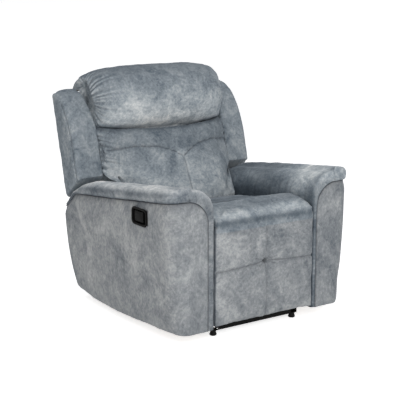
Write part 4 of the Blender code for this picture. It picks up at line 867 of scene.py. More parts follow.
@dataclass
class Arm:
    """One arm: a cover with a round front corner and a leaning rear, and a pad that laps over it."""

    side: Side
    inner: float = 0.264
    outer: float = 0.488
    front: float = -0.518
    bottom: float = 0.052
    rear_foot: float = 0.382
    rear_top: float = 0.428
    rear_swell: float = 0.010
    top_front: float = 0.678
    fall: float = 0.117
    chamfer_y: float = 0.313
    chamfer_z: float = 0.525
    chamfer_fall: float = 0.787
    chamfer_blend: float = 0.030
    corner: float = 0.071
    corner_room: float = 0.1175
    rear_corner: float = 0.032
    taper: float = 0.036
    bow: float = 0.010
    edge_roll: float = 0.010
    shell: float = 0.020
    pad_thickness: float = 0.060
    pad_end_thickness: float = 0.012
    pad_end: float = 0.398
    pad_round: float = 0.105
    pad_lean: float = 0.012
    pad_nose: float = 0.018
    overhang: float = 0.007
    strip_depth: float = 0.043
    strip_bottom: float = 0.055
    leg_bottom: float = 0.300
    fit: float = 0.0012
    sag: float = 0.018
    band_shade: float = 0.55
    edge_shade: float = 1.2
    patches: float = 0.22
    cup_margin: float = 0.007
    creases: tuple = (
        ((0.187, 0.377), (0.092, 0.365)),
        ((-0.259, 0.273), (-0.340, 0.219)),
        ((-0.034, 0.319), (-0.188, 0.291)),
    )

    @property
    def look(self) -> ArmLook:
        """What the arm on this side has of its own."""
        return LOOKS[self.side]

    @property
    def strip(self) -> float:
        """Width of the pad's front strip."""
        return self.look.strip

    def top_line(self, y: Array) -> Array:
        """Height of the arm: the lower of a gentle and a steep line, rounded where they meet.

        Args:
            y: places along the arm.

        Returns:
            The height at each place.
        """
        gentle = self.top_front - self.fall * (y - self.front)
        steep = self.chamfer_z - self.chamfer_fall * (y - self.chamfer_y)
        return 0.5 * (gentle + steep - np.sqrt((gentle - steep) ** 2 + self.chamfer_blend**2))

    def seam_line(self, y: Array) -> Array:
        """Height of the seam between cover and pad: parallel to the top line, and close below it at the rear."""
        line = self.top_front - self.pad_thickness - self.fall * (y - self.front)
        return np.minimum(line, self.top_line(y) - self.pad_end_thickness)

    def inner_drop(self, x: Array) -> Array:
        """How far the seam falls towards the inner edge: a quarter of a circle."""
        part = np.clip(self.pad_round - (x - self.inner - self.strip), 0.0, self.pad_round)
        return self.pad_round - np.sqrt(self.pad_round**2 - part**2)

    def pad_surface(self, x: Array, y: Array) -> Array:
        """Height of the pad over the arm: the top line, less a quarter round at the inner edge.

        Args:
            x: places across.
            y: places along the arm.

        Returns:
            The height at each place.
        """
        into = np.clip(self.pad_round - (np.abs(x) - self.inner), 0.0, self.pad_round)
        lean = self.pad_lean * smooth(-np.abs(x), -0.43, -self.inner - self.pad_round)
        return self.top_line(y) - lean - self.pad_round + np.sqrt(self.pad_round**2 - into**2)

    def plan(self, out: float, rear: float, inset: float) -> Array:
        """The cover's outline from above at one level.

        Args:
            out: X of the side's ends.
            rear: Y of the rear face.
            inset: how far inside the outer skin the line runs.

        Returns:
            Points from the front's inner edge round the side to the rear's inner edge, as X and Y.
        """
        start, front, back, out = self.inner + self.strip, self.front + inset, rear - inset, out - inset
        r1, r2 = max(self.corner - inset, 0.006), max(self.rear_corner - inset, 0.006)
        r1 = min(r1, out - self.inner - self.corner_room)
        turn = np.linspace(0, math.pi / 2, 13)
        face = np.column_stack([np.linspace(start, out - r1, 22), np.full(22, front)])[:-1]
        first = np.column_stack([out - r1 * (1 - np.sin(turn)), front + r1 * (1 - np.cos(turn))])
        along = np.linspace(-1, 1, 88)[1:-1]
        middle, reach = (front + r1 + back - r2) / 2, (back - r2 - front - r1) / 2
        flank = np.column_stack([out + self.bow * (1 - along**2), middle + reach * along])
        second = np.column_stack([out - r2 * (1 - np.cos(turn)), back - r2 * (1 - np.sin(turn))])
        last = np.column_stack([np.linspace(out - r2, start, 18), np.full(18, back)])[1:]
        return np.concatenate([face, first, flank, second, last])

    def cover_rings(self) -> Array:
        """The cover level by level: out along the outer skin and back along the inner one.

        Returns:
            The levels' points.
        """
        rings = []
        for rise in np.concatenate([[0.0, 0.008, 0.02, 0.04], np.linspace(0.06, 0.92, 52), [0.95, 0.975, 0.99, 1.0]]):
            under = max(0.0, 1 - rise / 0.035)
            tuck = under * under + float(smooth(rise, 0.92, 1.0))
            out = self.outer - self.bow - self.taper * (1 - rise) ** 2 - self.edge_roll * tuck
            rear = self.rear_foot + (self.rear_top - self.rear_foot) * rise
            rear += self.rear_swell * math.sin(math.pi * rise) - 0.5 * self.edge_roll * under
            plan = np.concatenate([self.plan(out, rear, 0.0), self.plan(out, rear, self.shell)[::-1]])
            top = self.seam_line(plan[:, 1]) - self.inner_drop(plan[:, 0]) - self.fit
            along = (2 * plan[:, 1] - self.front - self.rear_foot) / (self.rear_foot - self.front)
            low = self.bottom + 0.003 - self.sag * np.clip((1 - along**2) * (1 + 0.8 * along), 0, 2)
            z = low + rise * (top - low)
            rings.append(np.column_stack([self.side.value * plan[:, 0], plan[:, 1], z]))
        return np.array(rings)

    def edge(self, y: Array) -> Array:
        """X of the arm's outer edge under the pad: the bowed side, less the two round corners.

        Args:
            y: places along the arm.

        Returns:
            X at each place, as on the right arm.
        """
        y0, y1 = self.front + self.corner, self.rear_top - self.rear_corner
        part = np.clip((2 * y - y0 - y1) / (y1 - y0), -1, 1)
        into = np.clip(y0 - y, 0, self.corner)
        behind = np.clip(y - y1, 0, self.rear_corner)
        loss = self.corner - np.sqrt(self.corner**2 - into**2)
        loss += self.rear_corner - np.sqrt(self.rear_corner**2 - behind**2)
        return self.outer - self.bow + self.bow * (1 - part**2) - loss

    def pad_rings(self) -> Array:
        """The pad row by row: over the outside from the seam to the leg's foot, and back along the underside.

        Each row's outside is a curve through a few points of the section. The first rows are drawn towards the
        underside, which makes the front end's face and its round edge.

        Returns:
            The rows' points.
        """
        share = np.array([0.0, 0.02, 0.05, 0.10, 0.22, 0.42, 0.70, 1.0])
        full = np.array([0.03, 0.30, 0.55, 0.74, 0.86, 0.94, 0.985, 1.0])
        nose = self.front + self.pad_nose * share
        cut = self.front + self.strip_depth
        rest = np.concatenate([[cut - 0.004, cut, cut + 0.004], np.linspace(cut + 0.012, self.pad_end, 84)])
        rows = np.concatenate([nose, rest])
        low, top, edge = self.seam_line(rows), self.top_line(rows), self.edge(rows)
        tall = top - low
        foot = self.strip_bottom + (self.leg_bottom - self.strip_bottom) * smooth(rows, cut - 0.002, cut + 0.002)
        turn = np.linspace(0, math.pi / 2, 7)
        over = self.overhang * smooth(self.pad_end - rows, 0.02, 0.12)
        over -= 0.014 * smooth(rows, self.pad_end - 0.05, self.pad_end)
        out_x = edge[:, None] + np.array([-self.edge_roll, 0.0, 0.0, 0.0, 0.0, -0.016, -0.05])
        out_x += over[:, None] * np.array([0.0, 0.2, 0.8, 1.0, 0.3, 0.0, 0.0])
        out_z = low[:, None] + tall[:, None] * np.array([0.0, 0.05, 0.22, 0.48, 0.74, 0.93, 1.0])
        bend_x = np.broadcast_to(self.inner + self.pad_round * (1 - np.sin(turn)), (len(rows), 7))
        bend_z = top[:, None] - self.pad_lean - self.pad_round * (1 - np.cos(turn))
        crest = np.column_stack([0.7 * out_x[:, -1] + 0.3 * bend_x[:, 0], top + 0.002])[:, None]
        part = np.linspace(0, 1, 5)[1:]
        leg = np.stack([np.full((len(rows), 4), self.inner), bend_z[:, -1:] * (1 - part) + foot[:, None] * part], -1)
        controls = np.concatenate([np.stack([out_x, out_z], -1), crest, np.stack([bend_x, bend_z], -1), leg], axis=1)
        outside = through(controls, 4)
        count = outside.shape[1]
        flat = self.inner + self.strip + self.pad_round
        under_x = np.concatenate(
            [
                np.linspace(0, 1, count - 30)[None, :] * (flat - out_x[:, :1] + 0.012) + out_x[:, :1] - 0.012,
                np.broadcast_to(flat - self.pad_round * np.sin(np.linspace(0, math.pi / 2, 15))[1:], (len(rows), 14)),
                np.full((len(rows), 16), self.inner + self.strip),
            ],
            axis=1,
        )
        arc = self.pad_round * (1 - np.cos(np.linspace(0, math.pi / 2, 15))[1:])
        end = low - self.pad_round
        down = np.linspace(0, 1, 17)[1:]
        under_z = np.concatenate(
            [
                np.broadcast_to(low[:, None], (len(rows), count - 30)),
                low[:, None] - arc,
                end[:, None] * (1 - down) + foot[:, None] * down,
            ],
            axis=1,
        )
        under = np.stack([under_x, under_z], -1)
        round_off = np.concatenate([full, np.ones(len(rest))])[:, None, None]
        outside = under + (outside - under) * round_off
        ring = np.concatenate([outside, under[:, ::-1]], axis=1)
        y = np.broadcast_to(rows[:, None], ring.shape[:2])
        return np.stack([self.side.value * ring[:, :, 0], y, ring[:, :, 1]], -1)

    def build(self, wardrobe: Wardrobe) -> None:
        """Make and dress the cover and the pad.

        Args:
            wardrobe: the chair's finishes.
        """
        self.build_cover(wardrobe.side)
        self.build_pad(wardrobe.top[self.side])

    def build_cover(self, velvet: bpy.types.Material) -> None:
        """Make and dress the cover.

        Args:
            velvet: its finish.
        """
        word = self.side.word
        cover = loft(f"arm_cover_{word}_velvet", self.cover_rings(), folded=True)
        crumple(cover, height=0.0016, wavelength=0.16, seed=self.look.seed, stretch=(1, 1, 2.2))
        self.shade_cover(cover)
        # Painted light and shade: the cover lighter or darker where it faces forwards, and over all.
        brush(cover, (0, -1, 0), *self.look.cover_light)
        if self.side is Side.LEFT:
            # The creases are pressed in and painted darker, as shade in them.
            lines = [np.column_stack([np.full(2, -self.outer), ends]) for ends in np.array(self.creases)]
            sew(cover, [Seam(line, depth=0.0018, width=0.010, ink=0.30) for line in lines])
            self.open_for_handle(cover)
        dress(cover, "base", velvet, (f"arm_cover_{word}",))

    def build_pad(self, velvet: bpy.types.Material) -> None:
        """Make and dress the pad.

        Args:
            velvet: its finish.
        """
        word, seed = self.side.word, self.look.seed
        pad = loft(f"arm_pad_{word}_velvet", self.pad_rings(), folded=True)
        crumple(pad, height=0.0014, wavelength=0.11, seed=seed + 5)
        places = points_of(pad.data)
        above = places[:, 2] - self.seam_line(places[:, 1])
        # Painted shade in the pleats' valleys along the seam.
        gathers(pad, places[:, 1], above, pitch=0.037, reach=0.016, height=0.0010, ink=0.25)
        # Painted light and shade by the way the faces look and by place, with random patches of tone.
        way, amount, base = self.look.pad_light
        brush(pad, way, amount, base - self.pad_shade(places) + self.patches * ripple(places, 0.20, seed + 7))
        dress(pad, "base", velvet, (f"arm_pad_{word}",))

    def pad_shade(self, places: Array) -> Array:
        """How much painted shade the pad's pile has against its whole, in stops of light.

        The inner face is lighter in front and darker downwards behind, the outer flank has a dark band over a light
        one, the top fades to the rear, and the strip and the low inner edge behind it are dark.

        Args:
            places: the pad's points.

        Returns:
            The shade at each of them.
        """
        look, (x, y, z) = self.look, places.T
        wide, ahead, down = np.abs(x), y - self.front, self.top_line(y) - z
        depth = smooth(down, 0.0, 0.10) * smooth(ahead, 0.18, 0.36)
        depth -= look.inner_light * (1 - smooth(ahead, 0.10, 0.32))
        bands = self.band_shade * (bell(down, 0.024, 0.012) - bell(z - self.seam_line(y), 0.013, 0.010))
        fade = look.top_gain - look.top_loss * smooth(ahead, 0.25, 0.50)
        shade = (1 - smooth(wide, self.inner + 0.02, self.inner + 0.10)) * depth
        shade += smooth(wide, 0.41, 0.445) * bands
        shade -= smooth(wide, self.inner + 0.01, self.inner + 0.09) * fade
        shade *= smooth(ahead, 0.02, 0.06)
        shade += look.strip_shade * smooth(down, 0.08, 0.12)
        low_edge = (wide < self.inner + 0.003) * (1 - smooth(z, 0.50, 0.55))
        return shade + self.edge_shade * low_edge * smooth(ahead, 0.002, 0.012) * (1 - smooth(ahead, 0.03, 0.06))

    def shade_cover(self, cover: bpy.types.Object) -> None:
        """Paint shade on the cover along its seam under the pad, with a wider painted shadow below it, and along the
        front strip.

        Args:
            cover: the arm's cover.
        """
        places = points_of(cover.data)
        x, y = np.abs(places[:, 0]), places[:, 1]
        below = self.seam_line(y) - self.inner_drop(x) - places[:, 2]
        beside = x - self.inner - self.strip
        gap = np.minimum(below, np.where(y < self.front + 0.01, beside, 1.0))
        mark(cover.data, "seam_and_crease_shade", 0.65 * bell(gap, 0.0, 0.005) + 0.25 * bell(below, 0.0, 0.018))

    def open_for_handle(self, cover: bpy.types.Object) -> None:
        """Cut the cover for the handle's cup, which stands in it with a tight edge.

        Args:
            cover: the left arm's cover.
        """
        low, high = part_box("handle_cup")
        y0, z0 = low.y + self.cup_margin, low.z + self.cup_margin
        y1, z1 = high.y - self.cup_margin, high.z - self.cup_margin
        ring = np.array([[y0, z0], [y1, z0], [y1, z1], [y0, z1]])
        ends = [np.column_stack([np.full(4, x), ring]) for x in (low.x - 0.02, high.x + 0.02)]
        tool = loft("handle_opening", np.array(ends))
        cut = cover.modifiers.new("opening", "BOOLEAN")
        cut.operation, cut.solver, cut.object = "DIFFERENCE", "EXACT", tool
        keep(cover, cut)
        bpy.data.objects.remove(tool)


# The seat

# Way and strength of the painted light on the footrest and on the fold between it and the seat.
CHAISE_WAY, CHAISE_AMOUNT = (0, -1.0, -0.4), 0.3


def chaise_light(x: Array, z: Array) -> Array:
    """Painted light where the seat's roll turns down to the footrest: a dark band of painted shade in a wider soft one.
    """
    return -(0.85 - 0.8 * x) * bell(z + 0.012 * x, 0.504, 0.013) - 0.3 * bell(z, 0.488, 0.03)


@dataclass
class Seat:
    """The seat cushion: a rolled front that laps over the footrest, a crown and a fall to the rear."""

    half: float = 0.262
    front: float = -0.527
    rear: float = 0.200
    crown_y: float = -0.390
    crown_z: float = 0.556
    fall: float = 0.135
    fall_power: float = 1.3
    dip: float = 0.012
    lip_z: float = 0.5045
    lip: float = 0.010
    lip_tuck: float = 0.008
    corner: float = 0.016
    deck: float = 0.3958
    neck: float = -0.4525
    edge: float = 0.030
    inset: float = 0.003
    whole_light: float = -0.20
    crest_light: float = 0.55
    rear_shade: float = 1.5
    patches: float = 0.22

    def top(self) -> tuple:
        """The cushion's middle line: the lip's tuck, the roll's quarter ellipse, and the fall to the rear.

        Returns:
            Its Y, its Z, and the number of its points before the crown.
        """
        tuck, ahead = np.linspace(0, math.pi / 2, 7)[:-1], np.linspace(math.pi / 2, 0, 26)[:-1]
        back = np.linspace(0, 1, 58)
        base = self.lip_z + self.lip
        dip = self.dip * smooth(back, 0.0, 0.12) * (1 - smooth(back, 0.40, 0.62))
        y = [
            self.front + self.lip_tuck * (1 - np.sin(tuck)),
            self.crown_y - (self.crown_y - self.front) * np.sin(ahead),
            self.crown_y + (self.rear - self.crown_y) * back,
        ]
        z = [
            self.lip_z + 0.001 + self.lip * (1 - np.cos(tuck)),
            base + (self.crown_z - base) * np.cos(ahead) ** 0.9,
            self.crown_z - self.fall * back**self.fall_power - dip,
        ]
        return np.concatenate(y), np.concatenate(z), len(tuck) + len(ahead)

    def rings(self) -> Array:
        """The sections from side to side, each a closed line.

        It is the top from the lip to the rear, which drops at both sides by a quarter ellipse, and the underside.

        Returns:
            The sections' points.
        """
        x = (self.half - self.inset) * close_to(63, ends=0.55)
        top_y, top_z, roll = self.top()
        inner = np.clip((np.abs(x) - (self.half - self.edge)) / self.edge, 0, 1)
        drop = self.edge * (1 - np.sqrt(1 - np.minimum(inner, 0.98) ** 2))
        room = np.clip((top_z - self.lip_z) / (self.crown_z - self.lip_z), 0.04, 1.0)
        room[roll:] = 1.0
        z = top_z - np.outer(drop, room)
        z[:, :roll] = np.maximum(z[:, :roll], self.lip_z + 0.001)
        y = [
            top_y,
            np.full(5, self.rear),
            np.linspace(self.rear, self.neck, 36)[1:],
            np.full(7, self.neck),
            np.linspace(self.neck, self.front + self.lip_tuck, 9)[1:],
        ]
        under_z = [
            self.deck + (z[:, -1:] - self.deck) * np.linspace(1, 0, 6)[1:],
            np.full((len(x), 35), self.deck),
            np.broadcast_to(np.linspace(self.deck, self.lip_z, 8)[1:], (len(x), 7)),
            np.full((len(x), 8), self.lip_z),
        ]
        y, z = np.concatenate(y), np.concatenate([z, *under_z], axis=1)
        ahead = np.clip((self.crown_y - y) / (self.crown_y - self.front), 0, 1)
        return np.stack([np.broadcast_to(x[:, None], z.shape), y + self.corner * np.outer(inner**2, ahead), z], -1)

    def light(self, places: Array) -> Array:
        """Painted lightness of the pile in stops: a painted highlight on the crest, a painted shadow over the rear, the
        painted dark band below the roll, and random blotches of tone.

        Args:
            places: the cushion's points.

        Returns:
            The lightness at each of them.
        """
        x, y, z = places.T
        across = x / self.half
        crest = (1.35 - 0.4 * across) * bell(y - 0.06 * x, -0.510, 0.036)
        crest += 0.5 * smooth(x, 0.0, 0.2) * (1 - smooth(y, -0.30, -0.20))
        rear = smooth(y, -0.40, -0.27) * (0.78 - 0.35 * across) * (1 - 0.7 * smooth(y, -0.20, 0.0))
        band = chaise_light(x, z) * (y < self.crown_y - 0.03)
        worn = self.patches * ripple(places, 0.22, 47)
        return self.whole_light + self.crest_light * crest - self.rear_shade * rear + band + worn

    def build(self, wardrobe: Wardrobe) -> bpy.types.Object:
        """Make, swell and dress the cushion.

        Args:
            wardrobe: the chair's finishes.

        Returns:
            The cushion.
        """
        rings = self.rings()
        piece = loft("seat_cushion_velvet", rings)
        places = points_of(piece.data)
        index = np.arange(len(places)) % rings.shape[1]
        held = (places[:, 1] > self.rear - 0.002) | (np.abs(places[:, 0]) > self.half - self.inset - 0.001)
        held |= (index >= len(self.top()[0])) | (index == 0)
        swell(piece, held, Stuffing(pressure=3.0, spare=0.012, reach=0.006))
        refine(piece)
        crumple(piece, height=0.0022, wavelength=0.13, seed=41)
        # Painted light and shade on the cushion, lighter where it faces forwards and down.
        brush(piece, (0, -0.8, -0.6), 0.35, self.light(points_of(piece.data)))
        dress(piece, "seat", wardrobe.cloud, ("seat_cushion",))
        return piece


# The footrest


@dataclass
class Footrest:
    """The footrest's pad: crowned, drawn in by a button-like tuft where two seams cross."""

    half: float = 0.262
    bottom: float = 0.066
    top: float = 0.500
    back: float = -0.4718
    thick: float = 0.060
    edge_round: float = 0.016
    crown: float = 0.008
    tuft_z: float = 0.316
    tuft_depth: float = 0.024
    tuft_radius: float = 0.045
    seam_drop: float = 0.016
    seam_y: float = -0.52
    whole_light: float = -0.17
    side_shade: float = 1.3
    pleats: tuple = (
        (0.35, 0.06), (0.9, 0.035), (2.3, 0.04), (2.8, 0.07), (3.6, 0.05), (4.1, 0.03), (5.3, 0.045), (5.9, 0.06)
    )

    def seam_level(self, x: Array) -> Array:
        """Height of the seam across, which falls from the tuft to both sides."""
        return self.tuft_z - self.seam_drop * np.abs(x) / self.half

    def front_y(self, x: Array, z: Array) -> Array:
        """Y of the pad's face: a low crown with quarter-round edges, less a round dimple at the tuft.

        Args:
            x: places across.
            z: places up.

        Returns:
            Y at each place.
        """
        edge = np.minimum(self.half - np.abs(x), np.minimum(1.6 * (self.top - z), 2.2 * (z - self.bottom)))
        over = np.clip(self.edge_round - edge, 0, self.edge_round)
        loss = self.edge_round - np.sqrt(self.edge_round**2 - over**2)
        up = 2 * (z - self.bottom) / (self.top - self.bottom) - 1
        crown = self.crown * (1 - (1 - (x / self.half) ** 2) * (1 - up**2))
        far = np.sqrt(x**2 + (z - self.tuft_z) ** 2) / self.tuft_radius
        tuft = 0.6 * bell(far, 0.0, 1.0) + 0.4 * bell(far, 0.0, 0.3)
        pulls = bell(np.abs(x), self.half / 3, 0.03) * bell(z, self.tuft_z, 0.07)
        return self.back - self.thick + loss + crown + self.tuft_depth * tuft + 0.003 * pulls

    def seams(self) -> list:
        """The pad's seams: one across, one upright, a faint one beside it, and the pleats round the tuft.

        Returns:
            The seams.
        """
        x, z = np.linspace(-self.half, self.half, 80), np.linspace(self.bottom, self.top, 70)
        flat = np.column_stack([x, np.full(80, self.seam_y), self.seam_level(x)])
        upright = np.column_stack([np.zeros(70), np.full(70, self.seam_y), z])
        beside = upright[z > self.tuft_z] + np.array([-0.086, 0.0, 0.0])
        made = [
            Seam(flat, depth=0.005, width=0.006, ink=0.55),
            Seam(upright, depth=0.005, width=0.007, ink=0.30),
            Seam(beside, depth=0.0025, width=0.010, ink=0.12),
        ]
        for turn, far in self.pleats:
            tip = [far * math.cos(turn), -0.51, self.tuft_z + far * math.sin(turn)]
            made.append(Seam(np.array([[0.0, -0.50, self.tuft_z], tip]), depth=0.0025, width=0.005, ink=0.32))
        return made

    def build(self, wardrobe: Wardrobe) -> bpy.types.Object:
        """Make, swell, sew and dress the pad.

        Args:
            wardrobe: the chair's finishes.

        Returns:
            The pad.
        """
        x = self.half * close_to(65, ends=0.75)
        z = (self.bottom + self.top) / 2 + (self.top - self.bottom) / 2 * close_to(55, ends=0.75)
        xx, zz = np.meshgrid(x, z, indexing="ij")
        face = np.stack([xx, self.front_y(xx, zz), zz], -1)
        back = np.stack([xx[:, ::-6], np.full_like(xx[:, ::-6], self.back), zz[:, ::-6]], -1)
        piece = loft("footrest_pad_velvet", np.concatenate([face, back], axis=1))
        places = points_of(piece.data)
        held = places[:, 1] > self.back - self.thick + self.edge_round - 0.002
        held |= (np.abs(places[:, 2] - self.seam_level(places[:, 0])) < 0.004) | (np.abs(places[:, 0]) < 0.004)
        swell(piece, held, Stuffing(pressure=4.0, spare=0.02, reach=0.005))
        refine(piece)
        refine(piece)
        crumple(piece, height=0.0016, wavelength=0.10, seed=57)
        sew(piece, self.seams())
        x, _, z = points_of(piece.data).T
        # Painted shade in the tuft's hollow.
        mark(piece.data, "seam_and_crease_shade", 0.9 * bell(np.hypot(x, z - self.tuft_z), 0.0, 0.008))
        # Painted shade along the sides and in the band below the roll, and painted light by the way the faces look.
        edge = self.side_shade * smooth(np.abs(x), self.half - 0.006, self.half - 0.001)
        brush(piece, CHAISE_WAY, CHAISE_AMOUNT, self.whole_light + chaise_light(x, z) - edge)
        dress(piece, "footrest", wardrobe.front, ("footrest_pad",))
        return piece


@dataclass
class ChaiseFold:
    """The cloth that runs from the seat's roll over the gap to the footrest."""

    seat: bpy.types.Object
    footrest: bpy.types.Object
    half: float = 0.2575
    low: float = 0.470
    high: float = 0.534
    gap: tuple = (0.486, 0.518)
    inside: float = -0.500
    proud: float = 0.0014
    thick: float = 0.003
    whole_light: float = -0.15
    roll_light: float = 0.6

    def build(self, wardrobe: Wardrobe) -> None:
        """Make and dress the cloth: it lies on the two faces, and runs straight from one to the other.

        Args:
            wardrobe: the chair's finishes.
        """
        skins = [skin_of(piece) for piece in (self.seat, self.footrest)]
        x, z = self.half * close_to(90, ends=0.5), np.linspace(self.low, self.high, 26)
        seated = z[(z < self.gap[0]) | (z > self.gap[1])]
        ahead = Vector((0, 1, 0))
        rows = []
        for place in x:
            hits = [[skin.ray_cast(Vector((place, -0.7, level)), ahead)[0] for skin in skins] for level in seated]
            faces = [min([hit.y for hit in pair if hit is not None], default=self.inside) for pair in hits]
            rows.append(np.interp(z, seated, faces))
        y = np.array(rows) - self.proud * np.sin(math.pi * (z - self.low) / (self.high - self.low)) - 0.0002
        front = np.stack([np.broadcast_to(x[:, None], y.shape), y, np.broadcast_to(z, y.shape)], -1)
        back = front[:, ::-1] + np.array([0.0, self.thick, 0.0])
        piece = loft("chaise_fold_velvet", np.concatenate([front, back], axis=1))
        x, _, z = points_of(piece.data).T
        # Painted light: the band of painted shade below the roll, lighter towards the roll, and lighter or darker by
        # the way the faces look.
        light = self.whole_light + chaise_light(x, z) + self.roll_light * smooth(z, 0.512, self.high)
        brush(piece, CHAISE_WAY, CHAISE_AMOUNT, light)
        dress(piece, None, wardrobe.cloud)
        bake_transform(piece)


# The back

WING_LIGHT = {
    Side.LEFT: ((-0.9, -0.3, -0.3), 0.35, -0.17),
    Side.RIGHT: ((-0.4, -0.8, -0.5), 0.35, -0.18),
}


@dataclass
class Back:
    """The leaning back: head roll, lumbar cushion, two wings and the panel behind.

    Places are given across (x), up the lean (s) and forward of the rear plane (n).
    """

    lean: float = math.radians(14.4)
    y: float = 0.384
    z: float = 0.475
    rest_n: float = 0.0606
    wing_inner: float = 0.352
    wing_outer: float = 0.487
    wing_splay: float = 0.022
    wing_top: float = 0.500
    wing_rear_s: float = 0.010
    wing_front_s: float = 0.086
    wing_depth: float = 0.165
    wing_corner: float = 0.030
    wing_fold: float = 0.012
    wing_lid: float = 0.052
    wing_dome: float = 0.014
    wing_bend: float = 0.200
    wing_bend_run: float = 0.310
    lumbar_half: float = 0.258
    lumbar_bottom: float = -0.090
    lumbar_top: float = 0.272
    lumbar_rise: float = 0.045
    shoulder: float = 0.046
    arm_gap: float = 0.004
    side_n: float = 0.158
    tucked: float = 0.008
    centre_low: float = 0.362
    centre_high: float = 0.285
    edge_low: float = 0.325
    edge_high: float = 0.175
    vee_s: float = 0.125
    vee_rise: float = 0.075
    vee_spread: float = 0.110
    roll_s: float = 0.440
    roll_half_s: float = 0.155
    roll_n: float = 0.120
    roll_half_n: float = 0.165
    roll_rear: float = -0.008
    roll_reach: float = 0.985
    roll_in: float = 0.008
    roll_shift: float = -0.005
    roll_gap: float = 0.002
    panel_foot: float = 0.255
    panel_half: float = 0.466
    panel_crown: float = 0.014
    lumbar_whole_light: float = 0.23
    lumbar_fade: float = 0.66
    lumbar_edge_shade: float = 0.8
    flank_light: float = 0.28
    spot_light: float = 0.6
    roll_whole_light: float = 0.10
    roll_edge_shade: float = 1.6

    def world(self, x: Array, s: Array, n: Array) -> Array:
        """Points of the chair's frame from places across, up the lean and forward.

        Args:
            x: places across.
            s: places up the lean.
            n: places forward.

        Returns:
            X, Y and Z, stacked last.
        """
        y = self.y + s * math.sin(self.lean) - n * math.cos(self.lean)
        z = self.z + s * math.cos(self.lean) + n * math.sin(self.lean)
        return np.stack(np.broadcast_arrays(x, y, z), -1)

    def local(self, points: Array) -> tuple:
        """The way up the lean and forward of points of the chair's frame.

        Args:
            points: the points.

        Returns:
            Their places up the lean and their places forward.
        """
        y, z = points[:, 1] - self.y, points[:, 2] - self.z
        s = y * math.sin(self.lean) + z * math.cos(self.lean)
        return s, z * math.sin(self.lean) - y * math.cos(self.lean)

    def inner(self, s: Array) -> Array:
        """X of the wings' inner sides: upright below, and splayed by an easy step towards the top."""
        return self.wing_inner + self.wing_splay * smooth(s, 0.32, self.wing_top)

    def bent(self, s: Array) -> Array:
        """Share of the wings' depth that is left up the lean: a quarter ellipse from where the bend starts."""
        return np.sqrt(1 - np.clip((s - self.wing_bend) / self.wing_bend_run, 0, 1) ** 2)

    def roll_end(self, s: Array) -> Array:
        """X of the head roll's ends: just inside the wings, and further in by an easy step towards the top."""
        return self.inner(s) - self.roll_gap - self.roll_in * smooth(s, 0.40, 0.53)

    def vee_line(self, x: Array) -> Array:
        """The V of seams on the lumbar cushion: up from its point with the tanh of the way across."""
        return self.vee_s + self.vee_rise * np.tanh(np.abs(x) / self.vee_spread)

    def lumbar_line(self, x: Array) -> Array:
        """Top edge of the lumbar cushion: a shallow parabola, lowest in the middle."""
        return self.lumbar_top + self.lumbar_rise * (x / self.wing_inner) ** 2

    def build(self, wardrobe: Wardrobe) -> None:
        """Make and dress every piece of the back.

        Args:
            wardrobe: the chair's finishes.
        """
        self.build_lumbar(wardrobe)
        self.build_roll(wardrobe)
        for side in Side:
            self.build_wing(side, wardrobe)
        self.build_panel(wardrobe)

    def lumbar_skin(self) -> Array:
        """The lumbar cushion's face and rear, column by column.

        Its face is n = edge + (centre - edge)(1 - u^2), where u is the share of the half width, and both lines
        fall with s. The half width grows by an easy step above the seat, and the wide part rests on the arms.

        Returns:
            The columns' points.
        """
        u, rows = close_to(73, ends=0.45)[:, None], np.linspace(self.lumbar_bottom, self.lumbar_top, 68)[None, :]
        x = u * (self.lumbar_half + (self.wing_inner + self.tucked - self.lumbar_half) * smooth(rows, -0.02, 0.10))
        part = (rows - self.lumbar_bottom) / (self.lumbar_top - self.lumbar_bottom)
        centre = self.centre_low + (self.centre_high - self.centre_low) * part
        edge = self.edge_low + (self.edge_high - self.edge_low) * smooth(part, 0.15, 0.75)
        ends = np.sqrt(np.clip(smooth(part, -0.02, 0.07) * smooth(1 - part, -0.03, 0.12), 0, 1))
        above = smooth(rows, self.shoulder - 0.08, self.shoulder + 0.08)
        fall = np.maximum(edge - self.side_n, 0) * smooth(np.abs(u), 0.62, 1.0) ** 1.4
        n = edge + (centre - edge) * (1 - u**2) - 0.040 * (1 - ends) - fall * above
        s = rows + (self.lumbar_line(x) - self.lumbar_top) * smooth(rows, self.vee_s, self.lumbar_top)
        back = self.world(x[:, ::-7], s[:, ::-7], np.full_like(n[:, ::-7], self.rest_n))
        skin, arm = np.concatenate([self.world(x, s, n), back], axis=1), Arm(Side.LEFT)
        rest = arm.pad_surface(skin[..., 0], skin[..., 1]) + self.arm_gap
        skin[..., 2] = np.maximum(skin[..., 2], np.where(np.abs(skin[..., 0]) > arm.inner, rest, 0.0))
        return skin

    def lumbar_light(self, places: Array) -> Array:
        """Painted lightness of the lumbar cushion's pile in stops.

        It fades up the lean and has painted shade at the top edge under the roll, with a lighter flank and a painted
        highlight over the V's point.

        Args:
            places: the cushion's points.

        Returns:
            The lightness at each of them.
        """
        x, up = places[:, 0], self.local(places)[0]
        flank = self.flank_light * smooth(-x, 0.27, 0.335) * smooth(up, -0.02, 0.06)
        spot = self.spot_light * bell(x, -0.01, 0.045) * bell(up, self.vee_s + 0.018, 0.020)
        edge = self.lumbar_edge_shade * bell(self.lumbar_line(x) - up, 0.0, 0.012)
        return self.lumbar_whole_light - self.lumbar_fade * smooth(up, 0.03, 0.24) + flank + spot - edge

